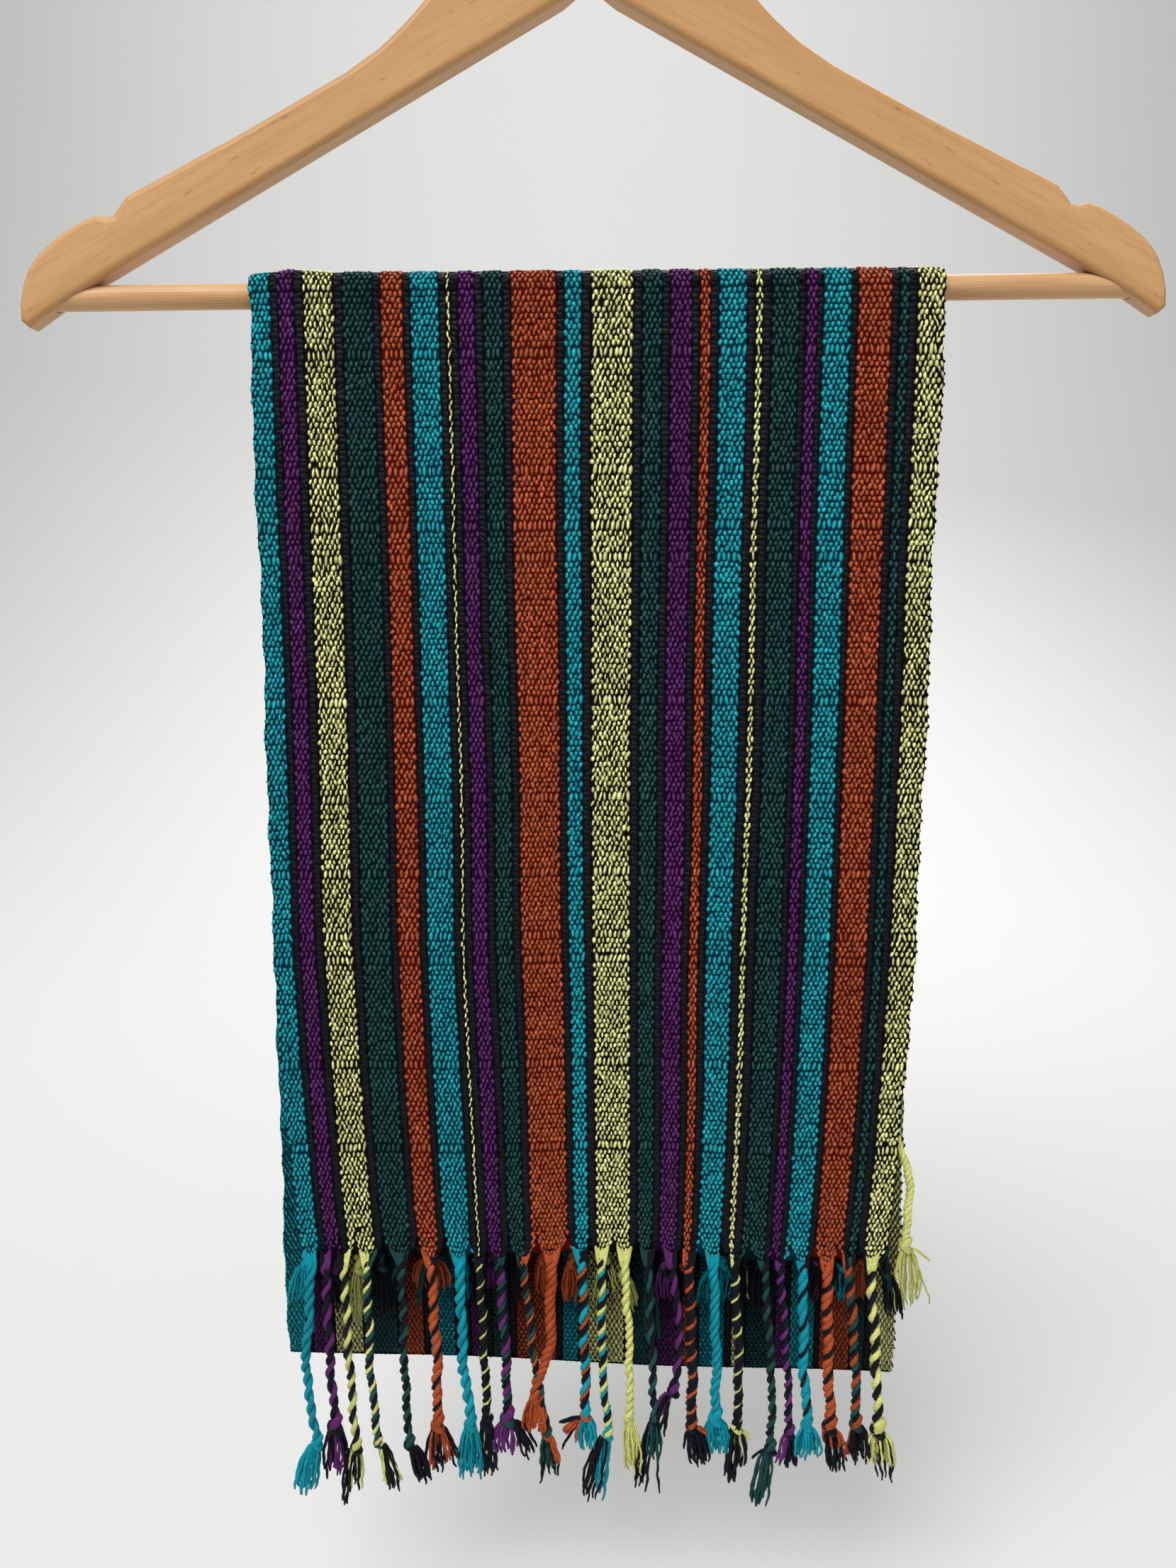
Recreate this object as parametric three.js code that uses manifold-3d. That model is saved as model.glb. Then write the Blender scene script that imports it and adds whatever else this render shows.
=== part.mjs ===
// A striped handwoven scarf, doubled end to end and hung over the bar of a wooden clothes hanger.
//
// Millimetres, +Z up. The origin is the inside of the hook's crown, where a rail carries the hanger,
// and the hanger's front faces -Y. The scarf is one strip of cloth, followed here from its front hem:
// up the front, over the bar, down the back to a fold, up again inside, over the bar, and down behind
// the front to its second hem. Each hem carries a fringe of twisted, knotted cords.

import * as THREE from 'three';
import Module from 'manifold-3d';
import { mergeVertices } from 'three/addons/utils/BufferGeometryUtils.js';

// ---------------------------------------------------------------- driving dimensions

const board = { thickness: 12, round: 2.5, roundSteps: 4, neckTop: -71, apex: -113.2 };
const bar = { radius: 4.75, z: -220.7, halfLength: 211.7, sides: 28 };
const hook = { wire: 3.2, innerRadius: 18, tipAngle: 195, turnAngle: -50, shankBottom: -96, steps: 46 };
const cloth = { wall: 1.6, gap: 0.4, seam: 0.3, columns: 10, rows: 12, turnSteps: 8, foldSteps: 6 };
const fit = 0.3;                       // clearance between a peg or wire and its hole
const strip = { height: 3 };           // the narrow woven heading that each fringe grows from
const cord = { sides: 4, knotWidth: 1.5, knotHeight: 5, bury: 1.6, lean: 0.8 };
const lock = { sides: 3, width: 2.8, start: 1, spread: 3.6, places: [-1, 0, 1] };

// Radii about the bar's axis at which the two layers of cloth pass over it.
const innerLayer = layerAt(bar.radius + cloth.gap);
const outerLayer = layerAt(innerLayer.outside + cloth.gap);

// The scarf's side edges, looking from the front, at a few heights on each layer.
const outerFrontEdges = table(['z', 'left', 'right'], [
  [-220.7, -133.0, 135.4],
  [-318, -135.0, 134.3],
  [-413, -137.0, 133.9],
  [-480, -139.4, 133.2],
  [-551, -138.4, 130.8],
  [-610, -136.5, 127.2],
  [-632, -134.0, 124.4],
]);
const innerFrontEdges = table(['z', 'left', 'right'], [
  [-220.7, -132.4, 134.2],
  [-413, -135.6, 132.8],
  [-560, -137.0, 132.0],
]);
const backEdges = table(['z', 'left', 'right'], [
  [-220.7, -133.6, 135.0],
  [-420, -139.0, 136.0],
  [-560, -143.4, 135.6],
  [-640, -145.2, 135.2],
  [-700, -145.6, 134.8],
]);

// Heights of the cloth's lower edges at the left side, the middle and the right side.
const outerHem = { left: -626, middle: -625.5, right: -631 };
const innerHem = { left: -549, middle: -547, right: -545 };
const backFold = { left: -683, middle: -690.5, right: -698 };

// Soft waves in the hanging cloth, in depth: none at the bar, full size at the free end.
const frontWaves = { size: 1.3, length: 128, shift: 0.15, start: -260, full: -600 };
const backWaves = { size: 0.9, length: 170, shift: 0.6, start: -300, full: -680 };

// The fringe cords from left to right. root, middle, knot and tip are positions across the scarf.
const fringeColumns = ['root', 'middle', 'knot', 'knotZ', 'tip', 'tipZ', 'width'];
const frontCords = table(fringeColumns, [
  [-129.5, -134.7, -131.6, -719, -136.8, -745, 3.8],
  [-123.5, -123.7, -123.0, -710, -126.7, -739, 3.4],
  [-115.5, -114.8, -113.8, -721, -117.4, -747, 3.8],
  [-105.0, -105.7, -103.7, -719, -99.2, -746, 3.2],
  [-89.7, -90.3, -89.4, -720, -86.0, -745, 3.4],
  [-76.7, -75.4, -76.2, -710, -77.0, -736, 3.6],
  [-63.8, -63.6, -61.2, -710, -63.1, -739, 4.6],
  [-54.9, -53.9, -53.8, -710, -54.4, -734, 3.8],
  [-46.3, -44.3, -44.3, -707, -41.8, -729, 3.6],
  [-35.8, -31.1, -26.4, -716, -25.6, -738, 3.2],
  [-22.9, -24.6, -31.5, -697, -34.6, -716, 4.3],
  [-9.4, -8.8, -8.8, -706, -12.0, -727, 3.6],
  [-0.8, -0.7, 1.3, -716, -5.8, -749, 3.6],
  [9.5, 11.4, 10.9, -708, 12.0, -738, 3.2],
  [19.8, 21.6, 22.5, -709, 19.8, -744, 3.8],
  [30.4, 34.3, 31.2, -694, 29.3, -716, 3.4],
  [37.9, 39.6, 39.5, -712, 41.6, -733, 3.4],
  [48.8, 50.4, 50.3, -708, 51.4, -725, 3.8],
  [58.2, 60.7, 60.0, -713, 60.0, -741, 3.8],
  [71.5, 75.6, 75.6, -724, 69.6, -748, 3.2],
  [78.5, 82.4, 84.2, -716, 83.2, -734, 3.4],
  [88.6, 90.0, 92.0, -712, 92.3, -729, 3.8],
  [99.5, 101.0, 102.4, -713, 105.2, -736, 3.8],
  [109.2, 113.2, 114.3, -712, 116.0, -734, 3.2],
  [118.6, 122.6, 124.4, -715, 127.0, -738, 3.8],
]);
const innerCords = table(fringeColumns, [
  [-131.0, -133.0, -134.5, -636, -139.0, -660, 3.6],
  [-123.5, -124.0, -124.0, -632, -124.5, -655, 3.4],
  [-115.0, -114.0, -113.0, -636, -111.5, -661, 3.4],
  [-105.0, -103.6, -102.6, -633, -101.2, -658, 3.0],
  [-90.0, -92.0, -93.2, -634, -95.0, -659, 3.4],
  [-77.5, -78.0, -78.0, -626, -78.5, -650, 3.6],
  [-64.0, -63.5, -63.2, -632, -63.0, -656, 4.0],
  [-54.5, -54.6, -54.8, -631, -55.2, -655, 3.6],
  [-45.0, -47.0, -48.0, -625, -49.4, -648, 3.4],
  [-35.5, -34.0, -33.0, -631, -31.2, -655, 3.2],
  [-23.0, -21.0, -19.4, -629, -17.4, -653, 4.0],
  [-9.4, -8.6, -7.6, -630, -6.0, -655, 3.4],
  [-0.2, 0.8, 1.6, -627, 2.8, -651, 3.4],
  [9.6, 11.6, 13.0, -633, 15.2, -657, 3.2],
  [20.4, 21.6, 22.2, -640, 23.2, -664, 3.4],
  [31.0, 31.6, 31.6, -627, 31.2, -650, 3.2],
  [38.4, 39.2, 39.6, -631, 39.6, -655, 3.2],
  [49.0, 49.8, 50.2, -633, 50.4, -658, 3.8],
  [58.6, 60.6, 62.0, -632, 63.8, -657, 3.4],
  [72.0, 73.2, 73.8, -631, 74.4, -655, 3.2],
  [81.0, 84.4, 87.2, -631, 90.8, -655, 3.2],
  [90.4, 95.4, 99.4, -630, 103.0, -655, 3.6],
  [101.6, 106.6, 110.4, -631, 114.2, -656, 3.6],
  [113.0, 118.6, 122.6, -642, 127.6, -667, 3.4],
  [128.4, 134.6, 138.4, -622, 142.4, -669, 3.4],
]);

// The hanger's outline from the neck to the tip of one arm and back to the middle of the underside.
const neckAndShoulder = [
  [12, -72], [20, -76.2], [29, -83.6], [40, -94.6], [52, -107.6], [61, -117.2], [70, -126.2], [79, -133.8],
];
const armTop = [[92, -142.1], [130, -161.6], [163.8, -177.9], [174.8, -183]];
const notchAndNose = [
  [178.2, -184.8], [181.4, -188.6], [183.6, -191.4], [186.4, -192.2], [190, -191.2], [194.6, -192.7],
  [200.2, -195.6], [206.2, -199.2], [211.4, -203.1], [215.6, -207], [218.6, -211.4], [221, -217],
  [222.6, -223.6], [222.8, -229.6], [220, -232], [208.5, -224.7], [190.1, -214.5],
];
const apexRound = { halfWidth: 10, slope: 0.537 };

// ---------------------------------------------------------------- small helpers

function table(columns, rows) {
  return rows.map((row) => Object.fromEntries(columns.map((column, i) => [column, row[i]])));
}

function layerAt(inside) {
  return { inside, outside: inside + cloth.wall };
}

function lerp(a, b, t) {
  return a + (b - a) * t;
}

/** Value of one column of a table at height z, straight between its rows. */
function atHeight(rows, column, z) {
  const last = rows.length - 1;
  let i = 0;
  while (i < last - 1 && z < rows[i + 1].z) i += 1;
  const t = THREE.MathUtils.clamp((z - rows[i].z) / (rows[i + 1].z - rows[i].z), 0, 1);
  return lerp(rows[i][column], rows[i + 1][column], t);
}

/** Height of a lower edge at u, from 0 on the left side to 1 on the right side. */
function edgeHeight(edge, u) {
  return u < 0.5 ? lerp(edge.left, edge.middle, u * 2) : lerp(edge.middle, edge.right, u * 2 - 1);
}

function acrossAt(edges, u, z) {
  return lerp(atHeight(edges, 'left', z), atHeight(edges, 'right', z), u);
}

function waveDepth(waves, x, z) {
  const growth = THREE.MathUtils.smoothstep(-z, -waves.start, -waves.full);
  return waves.size * growth * Math.sin(2 * Math.PI * (x / waves.length + waves.shift));
}

/** A closed mesh from rings of points, each ring closed, capped at both ends. */
function lofted(rings) {
  const sides = rings[0].length;
  const positions = rings.flat().flatMap((p) => [p.x, p.y, p.z]);
  const faces = [];
  for (let r = 0; r + 1 < rings.length; r += 1) {
    for (let s = 0; s < sides; s += 1) {
      const a = r * sides + s;
      const b = r * sides + (s + 1) % sides;
      faces.push(a, b, b + sides, a, b + sides, a + sides);
    }
  }
  const end = (rings.length - 1) * sides;
  for (let s = 1; s + 1 < sides; s += 1) {
    faces.push(0, s + 1, s);
    faces.push(end, end + s, end + s + 1);
  }
  return facesOut(positions, faces);
}

/** A wall between two faces: front(u, v) and back(u, v), with u and v from 0 to 1. */
function walled(front, back, columns, rows) {
  const positions = [];
  for (const face of [front, back]) {
    for (let j = 0; j <= rows; j += 1) {
      for (let i = 0; i <= columns; i += 1) {
        positions.push(...face(i / columns, j / rows));
      }
    }
  }
  const width = columns + 1;
  const other = width * (rows + 1);
  const faces = [];
  const quad = (a, b, c, d) => faces.push(a, b, c, a, c, d);
  for (let j = 0; j < rows; j += 1) {
    for (let i = 0; i < columns; i += 1) {
      const a = j * width + i;
      quad(a, a + 1, a + 1 + width, a + width);
      quad(other + a, other + a + width, other + a + 1 + width, other + a + 1);
    }
  }
  for (let i = 0; i < columns; i += 1) {
    const foot = rows * width + i;
    quad(i, other + i, other + i + 1, i + 1);
    quad(foot, foot + 1, other + foot + 1, other + foot);
  }
  for (let j = 0; j < rows; j += 1) {
    const a = j * width;
    const z = a + columns;
    quad(a, a + width, other + a + width, other + a);
    quad(z, other + z, other + z + width, z + width);
  }
  return facesOut(positions, faces);
}

/** The geometry with its faces turned to point out, whichever way they were listed. */
function facesOut(positions, faces) {
  let volume = 0;
  const at = (i) => new THREE.Vector3(...positions.slice(i * 3, i * 3 + 3));
  for (let f = 0; f < faces.length; f += 3) {
    volume += at(faces[f]).dot(at(faces[f + 1]).cross(at(faces[f + 2])));
  }
  if (volume < 0) faces.reverse();
  const geometry = new THREE.BufferGeometry();
  geometry.setAttribute('position', new THREE.Float32BufferAttribute(positions, 3));
  geometry.setIndex(faces);
  return geometry;
}

const wasm = await Module();
wasm.setup();

function solidOf(geometry) {
  const bare = geometry.clone();
  bare.deleteAttribute('normal');
  bare.deleteAttribute('uv');
  const merged = mergeVertices(bare, 1e-4);
  return new wasm.Manifold(new wasm.Mesh({
    numProp: 3,
    vertProperties: new Float32Array(merged.attributes.position.array),
    triVerts: new Uint32Array(merged.index.array),
  }));
}

function geometryOf(solid) {
  const mesh = solid.getMesh();
  const geometry = new THREE.BufferGeometry();
  geometry.setAttribute('position', new THREE.Float32BufferAttribute(mesh.vertProperties, mesh.numProp));
  geometry.setIndex([...mesh.triVerts]);
  return geometry;
}

// ---------------------------------------------------------------- the hanger

function hangerOutline() {
  const shoulder = new THREE.SplineCurve(neckAndShoulder.map(([x, z]) => new THREE.Vector2(x, z)));
  const underside = [
    [apexRound.halfWidth, board.apex - apexRound.halfWidth * apexRound.slope],
    [apexRound.halfWidth / 2, board.apex - apexRound.halfWidth * apexRound.slope * 0.3],
  ];
  const half = [
    [6, board.neckTop],
    ...shoulder.getPoints(14).map((p) => [p.x, p.y]),
    ...armTop,
    ...notchAndNose,
    ...underside,
  ];
  const left = half.map(([x, z]) => [-x, z]).reverse();
  const points = [...half, [0, board.apex], ...left];
  return new THREE.Shape(points.map(([x, z]) => new THREE.Vector2(x, z)));
}

function yokeGeometry() {
  const flat = board.thickness - 2 * board.round;
  const plate = new THREE.ExtrudeGeometry(hangerOutline(), {
    depth: flat,
    bevelThickness: board.round,
    bevelSize: board.round,
    bevelOffset: -board.round,
    bevelSegments: board.roundSteps,
    curveSegments: 4,
  });
  plate.translate(0, 0, -flat / 2);
  plate.rotateX(Math.PI / 2);
  let yoke = solidOf(plate);

  const shankHole = new THREE.CylinderGeometry(hook.wire / 2 + fit, hook.wire / 2 + fit, 40, 12);
  shankHole.rotateX(Math.PI / 2);
  shankHole.translate(0, 0, hook.shankBottom - fit + 20);
  yoke = yoke.subtract(solidOf(shankHole));

  const holeLength = 60;
  const bore = bar.radius + fit;
  for (const side of [-1, 1]) {
    const barHole = new THREE.CylinderGeometry(bore, bore, holeLength, bar.sides);
    barHole.rotateZ(Math.PI / 2);
    barHole.translate(side * (bar.halfLength + fit - holeLength / 2), 0, bar.z);
    yoke = yoke.subtract(solidOf(barHole));
  }
  return geometryOf(yoke);
}

function barGeometry() {
  const dowel = new THREE.CylinderGeometry(bar.radius, bar.radius, 2 * bar.halfLength, bar.sides);
  dowel.rotateZ(Math.PI / 2);
  dowel.translate(0, 0, bar.z);
  return dowel;
}

/** Centre line of the hook: round the crown from the tip, back under it and straight down. */
class HookCurve extends THREE.Curve {
  constructor() {
    super();
    this.radius = hook.innerRadius + hook.wire / 2;
    this.from = THREE.MathUtils.degToRad(hook.tipAngle);
    this.to = THREE.MathUtils.degToRad(hook.turnAngle);
    this.turn = -this.to;
    this.joint = new THREE.Vector3(
      this.radius * Math.cos(this.to), 0, -hook.innerRadius + this.radius * Math.sin(this.to));
    this.back = this.joint.x / (1 - Math.cos(this.turn));
    this.shankTop = this.joint.z - this.back * Math.sin(this.turn);
    this.crownLength = this.radius * (this.from - this.to);
    this.backLength = this.back * this.turn;
    this.shankLength = this.shankTop - hook.shankBottom;
  }

  getPoint(t, target = new THREE.Vector3()) {
    let along = t * (this.crownLength + this.backLength + this.shankLength);
    if (along <= this.crownLength) {
      const angle = this.from - along / this.radius;
      return target.set(
        this.radius * Math.cos(angle), 0, -hook.innerRadius + this.radius * Math.sin(angle));
    }
    along -= this.crownLength;
    if (along <= this.backLength) {
      const left = this.turn - along / this.back;
      return target.set(
        this.back * (1 - Math.cos(left)), 0, this.shankTop + this.back * Math.sin(left));
    }
    return target.set(0, 0, this.shankTop - (along - this.backLength));
  }
}

function hookGeometry() {
  const section = new THREE.Shape();
  section.absarc(0, 0, hook.wire / 2, 0, 2 * Math.PI, false);
  return new THREE.ExtrudeGeometry(section, {
    steps: hook.steps,
    curveSegments: 4,
    bevelEnabled: false,
    extrudePath: new HookCurve(),
  });
}

// ---------------------------------------------------------------- the scarf

/** A hanging stretch of cloth between the bar and a lower edge; side is -1 in front, 1 behind. */
function dropGeometry({ layer, side, edges, lower, raise, waves }) {
  const face = (radius) => (u, v) => {
    const top = bar.z - cloth.seam / 2;
    const z = lerp(top, edgeHeight(lower, u) + raise, v);
    const x = acrossAt(edges, u, z);
    return [x, side * radius + waveDepth(waves, x, z), z];
  };
  return walled(face(layer.outside), face(layer.inside), cloth.columns, cloth.rows);
}

/** The half turn of one layer over the bar, from the front stretch to the back one. */
function turnGeometry(layer, frontEdges) {
  const middle = (layer.inside + layer.outside) / 2;
  const start = cloth.seam / 2 / middle;
  const face = (radius) => (u, v) => {
    const angle = lerp(start, Math.PI - start, v);
    const x = lerp(acrossAt(frontEdges, u, bar.z), acrossAt(backEdges, u, bar.z), v);
    return [x, -radius * Math.cos(angle), bar.z + radius * Math.sin(angle)];
  };
  return walled(face(layer.outside), face(layer.inside), cloth.columns, cloth.turnSteps);
}

const foldMiddle = (innerLayer.inside + outerLayer.outside) / 2;
const foldOutside = outerLayer.outside - foldMiddle;
const foldInside = foldOutside - cloth.wall;

/** The fold at the foot of the back, where the outer layer turns up into the inner one. */
function foldGeometry() {
  const face = (radius) => (u, v) => {
    const angle = Math.PI * v;
    const centre = edgeHeight(backFold, u) + foldOutside;
    const z = centre - radius * Math.sin(angle);
    const x = acrossAt(backEdges, u, centre);
    return [x, foldMiddle - radius * Math.cos(angle) + waveDepth(backWaves, x, centre), z];
  };
  return walled(face(foldOutside), face(foldInside), cloth.columns, cloth.foldSteps);
}

// ---------------------------------------------------------------- the fringes

/** A ring of the strand's section, square to a nearly vertical strand. */
function strandRing(centre, width, sides, turn) {
  return Array.from({ length: sides }, (_, i) => {
    const angle = turn + 2 * Math.PI * i / sides;
    return new THREE.Vector3(
      centre.x + width / 2 * Math.cos(angle), centre.y + width / 2 * Math.sin(angle), centre.z);
  });
}

/** One cord from the heading down to its knot. */
function cordGeometry(row, rootZ, rootY, hangY) {
  const knotTop = row.knotZ + cord.knotHeight / 2;
  const spans = [
    { x: row.root, z: rootZ, y: rootY, width: row.width * 0.8 },
    { x: lerp(row.root, row.middle, 0.5), z: lerp(rootZ, row.knotZ, 0.25), y: hangY, width: row.width },
    { x: row.middle, z: lerp(rootZ, row.knotZ, 0.6), y: hangY, width: row.width },
    { x: row.knot, z: knotTop, y: hangY, width: row.width },
    { x: row.knot, z: row.knotZ, y: hangY, width: row.width * cord.knotWidth },
    { x: row.knot, z: knotTop - cord.knotHeight, y: hangY, width: row.width * 0.8 },
  ];
  return lofted(spans.map((s, i) => strandRing(s, s.width, cord.sides, i * cord.lean)));
}

/** A lock of loose yarn below the knot; place is -1 on the left, 0 in the middle, 1 on the right. */
function lockGeometry(row, place, hangY) {
  const rows = [
    { x: row.knot + place * lock.start, z: row.knotZ - 1, width: lock.width * 0.5 },
    { x: row.tip + place * lock.spread, z: row.tipZ + 3 * Math.abs(place), width: lock.width },
  ];
  return lofted(rows.map((s) => strandRing({ ...s, y: hangY }, s.width, lock.sides, Math.PI / 2)));
}

/** The heading strip of one hem with all its cords, joined into one body. */
function fringeGeometry({ cords, edges, hem, layer, rootY, hangY }) {
  const top = (u) => edgeHeight(hem, u) - cloth.seam;
  const face = (radius) => (u, v) => {
    const z = top(u) - strip.height * v;
    const x = acrossAt(edges, u, z);
    return [x, -radius + waveDepth(frontWaves, x, z), z];
  };
  const pieces = [solidOf(walled(face(layer.outside), face(layer.inside), cloth.columns, 1))];
  for (const row of cords) {
    const left = acrossAt(edges, 0, hem.middle);
    const u = (row.root - left) / (acrossAt(edges, 1, hem.middle) - left);
    const rootZ = top(u) - strip.height + cord.bury;
    const y = rootY + waveDepth(frontWaves, row.root, rootZ);
    pieces.push(solidOf(cordGeometry(row, rootZ, y, hangY)));
    for (const place of lock.places) pieces.push(solidOf(lockGeometry(row, place, hangY)));
  }
  return geometryOf(wasm.Manifold.union(pieces));
}

// ---------------------------------------------------------------- the scene graph

const finishes = {
  beech: new THREE.MeshStandardMaterial({ color: '#d9b27c', roughness: 0.45 }),
  paleBeech: new THREE.MeshStandardMaterial({ color: '#e2c08f', roughness: 0.5 }),
  steel: new THREE.MeshStandardMaterial({ color: '#b9bcc0', roughness: 0.25, metalness: 1 }),
  teal: new THREE.MeshStandardMaterial({ color: '#0d8a98', roughness: 0.9 }),
  orange: new THREE.MeshStandardMaterial({ color: '#c0451c', roughness: 0.9 }),
  yellow: new THREE.MeshStandardMaterial({ color: '#cfd05a', roughness: 0.9 }),
  purple: new THREE.MeshStandardMaterial({ color: '#6a2468', roughness: 0.9 }),
  green: new THREE.MeshStandardMaterial({ color: '#14483f', roughness: 0.9 }),
  black: new THREE.MeshStandardMaterial({ color: '#1b1b22', roughness: 0.95 }),
};

const part = new THREE.Group();

function add(name, geometry, material) {
  const mesh = new THREE.Mesh(geometry, material);
  mesh.name = name;
  part.add(mesh);
}

const aboveFold = foldOutside + cloth.seam;

add('hanger_yoke', yokeGeometry(), finishes.beech);
add('hanger_bar', barGeometry(), finishes.paleBeech);
add('hanger_hook', hookGeometry(), finishes.steel);

add('scarf_front', dropGeometry({
  layer: outerLayer, side: -1, edges: outerFrontEdges, lower: outerHem, raise: 0, waves: frontWaves,
}), finishes.orange);
add('scarf_turn', turnGeometry(outerLayer, outerFrontEdges), finishes.purple);
add('scarf_back', dropGeometry({
  layer: outerLayer, side: 1, edges: backEdges, lower: backFold, raise: aboveFold, waves: backWaves,
}), finishes.teal);
add('scarf_fold', foldGeometry(), finishes.yellow);
add('scarf_back_inside', dropGeometry({
  layer: innerLayer, side: 1, edges: backEdges, lower: backFold, raise: aboveFold, waves: backWaves,
}), finishes.green);
add('scarf_turn_inside', turnGeometry(innerLayer, innerFrontEdges), finishes.black);
add('scarf_front_inside', dropGeometry({
  layer: innerLayer, side: -1, edges: innerFrontEdges, lower: innerHem, raise: 0, waves: frontWaves,
}), finishes.yellow);

add('fringe_front', fringeGeometry({
  cords: frontCords, edges: outerFrontEdges, hem: outerHem, layer: outerLayer, rootY: -8, hangY: -9.2,
}), finishes.teal);
add('fringe_inside', fringeGeometry({
  cords: innerCords, edges: innerFrontEdges, hem: innerHem, layer: innerLayer, rootY: -5, hangY: -3.6,
}), finishes.purple);

export default part;
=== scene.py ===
"""A striped handwoven scarf, doubled end to end over the bar of a wooden clothes hanger.

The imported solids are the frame. The cloth is rebuilt here as one folded sheet whose warp floats are
real relief, with twisted and knotted fringe cords. Lengths are in millimetres up to make_object(),
which writes metres. x runs to the right, y to the back and z up, from the inside of the hook's crown.
"""

import math

import bpy
import numpy as np
from mathutils import Matrix


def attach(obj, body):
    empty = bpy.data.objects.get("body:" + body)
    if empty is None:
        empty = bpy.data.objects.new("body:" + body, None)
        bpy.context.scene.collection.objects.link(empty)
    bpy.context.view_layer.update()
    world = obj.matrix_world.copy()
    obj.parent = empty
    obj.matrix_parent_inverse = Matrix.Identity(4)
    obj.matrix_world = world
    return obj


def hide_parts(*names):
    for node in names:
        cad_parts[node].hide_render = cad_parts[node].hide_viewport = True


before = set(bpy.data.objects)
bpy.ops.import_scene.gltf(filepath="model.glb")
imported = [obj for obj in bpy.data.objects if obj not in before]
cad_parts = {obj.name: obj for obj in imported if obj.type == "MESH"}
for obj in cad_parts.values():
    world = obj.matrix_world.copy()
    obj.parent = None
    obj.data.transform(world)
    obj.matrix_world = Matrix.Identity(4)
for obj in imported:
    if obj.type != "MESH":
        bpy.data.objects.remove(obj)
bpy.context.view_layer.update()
rng = np.random.default_rng(23)

MM = 0.001
TURN = 2 * math.pi

# ---------------------------------------------------------------- camera

PHOTO_HEIGHT = 2212
FOCAL_PIXELS = 1661.6
SENSOR = 36.0
CAMERA_AT = (-0.00294, -0.48758, -0.33059)
CAMERA_PITCH = math.radians(9.956)
CAMERA_ROLL = math.radians(-0.707)
CAMERA_YAW = math.radians(-0.141)


def put(made, right, up, back, place):
    """Put a camera or a light at a place, by the directions of its own three axes."""
    turned = np.eye(4)
    turned[:3] = np.stack([right, up, back, place], -1)
    made.matrix_world = Matrix(turned.tolist())
    bpy.context.collection.objects.link(made)


def add_camera():
    """The photograph's view: close to the cloth, a little above its middle, looking down at it."""
    forward = np.array([
        math.sin(CAMERA_YAW) * math.cos(CAMERA_PITCH),
        math.cos(CAMERA_YAW) * math.cos(CAMERA_PITCH),
        -math.sin(CAMERA_PITCH),
    ])
    level = np.array([math.cos(CAMERA_YAW), -math.sin(CAMERA_YAW), 0.0])
    above = np.cross(level, forward)
    right = level * math.cos(CAMERA_ROLL) + above * math.sin(CAMERA_ROLL)
    up = above * math.cos(CAMERA_ROLL) - level * math.sin(CAMERA_ROLL)
    data = bpy.data.cameras.new("camera")
    data.sensor_width = SENSOR
    data.lens = SENSOR * FOCAL_PIXELS / PHOTO_HEIGHT
    data.clip_start = 0.01
    camera = bpy.data.objects.new("camera", data)
    put(camera, right, up, -forward, CAMERA_AT)
    bpy.context.scene.camera = camera


# ---------------------------------------------------------------- sizes shared with the solids

BAR_Z = -220.7
BAR_RADIUS = 4.75
WALL = 1.6
LAYER_GAP = 0.4
INNER_RADIUS = BAR_RADIUS + LAYER_GAP + WALL / 2
OUTER_RADIUS = INNER_RADIUS + WALL + LAYER_GAP

# The stripes left of the middle in front lie further to the right than an even spread would put them,
# more and more towards the hem: the place across where that is most, how far it reaches to each
# side, and its size at three heights.
STRIPE_LEAN = {"place": 0.34, "reach": 0.15, "z": (-620, -480, -235), "size": (5.5, 2.8, 0.0)}
ALL_STRIPES_LEAN = 0.6
OUTER_FRONT_EDGES = {
    "z": (-220.7, -318, -413, -480, -551, -610, -632),
    "left": (-133.0, -135.0, -137.0, -139.4, -138.4, -136.5, -134.0),
    "right": (135.4, 134.3, 133.9, 133.2, 130.8, 127.2, 124.4),
    "lean": STRIPE_LEAN,
}
INNER_FRONT_EDGES = {
    "z": (-220.7, -413, -560),
    "left": (-132.4, -135.6, -137.0),
    "right": (134.2, 132.8, 132.0),
}
BACK_EDGES = {
    "z": (-220.7, -420, -560, -640, -700),
    "left": (-133.6, -139.0, -143.4, -145.2, -145.6),
    "right": (135.0, 136.0, 135.6, 135.2, 134.8),
}
# Heights of the lower edges at the left selvedge, in the middle and at the right selvedge.
OUTER_HEM = (-626.0, -625.5, -631.0)
INNER_HEM = (-549.0, -547.0, -545.0)
BACK_FOLD = (-683.0, -690.5, -698.0)
FRONT_WAVES = {"size": 1.3, "length": 128, "shift": 0.15, "start": -260, "full": -600}
BACK_WAVES = {"size": 0.9, "length": 170, "shift": 0.6, "start": -300, "full": -680}

# ---------------------------------------------------------------- yarn colours and stripes

YARN = {
    "teal": (0.014, 0.330, 0.390),
    "purple": (0.105, 0.026, 0.124),
    "yellow": (0.740, 0.750, 0.320),
    "green": (0.019, 0.070, 0.066),
    "orange": (0.400, 0.086, 0.033),
    "black": (0.006, 0.007, 0.012),
}
# The same yarns twisted into cords, which look deeper than in the cloth.
CORD_YARN = {
    "teal": (0.003, 0.290, 0.375),
    "purple": (0.120, 0.022, 0.140),
    "yellow": (0.660, 0.670, 0.210),
    "green": (0.011, 0.060, 0.055),
    "orange": (0.420, 0.075, 0.022),
    "black": (0.005, 0.006, 0.011),
}
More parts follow.
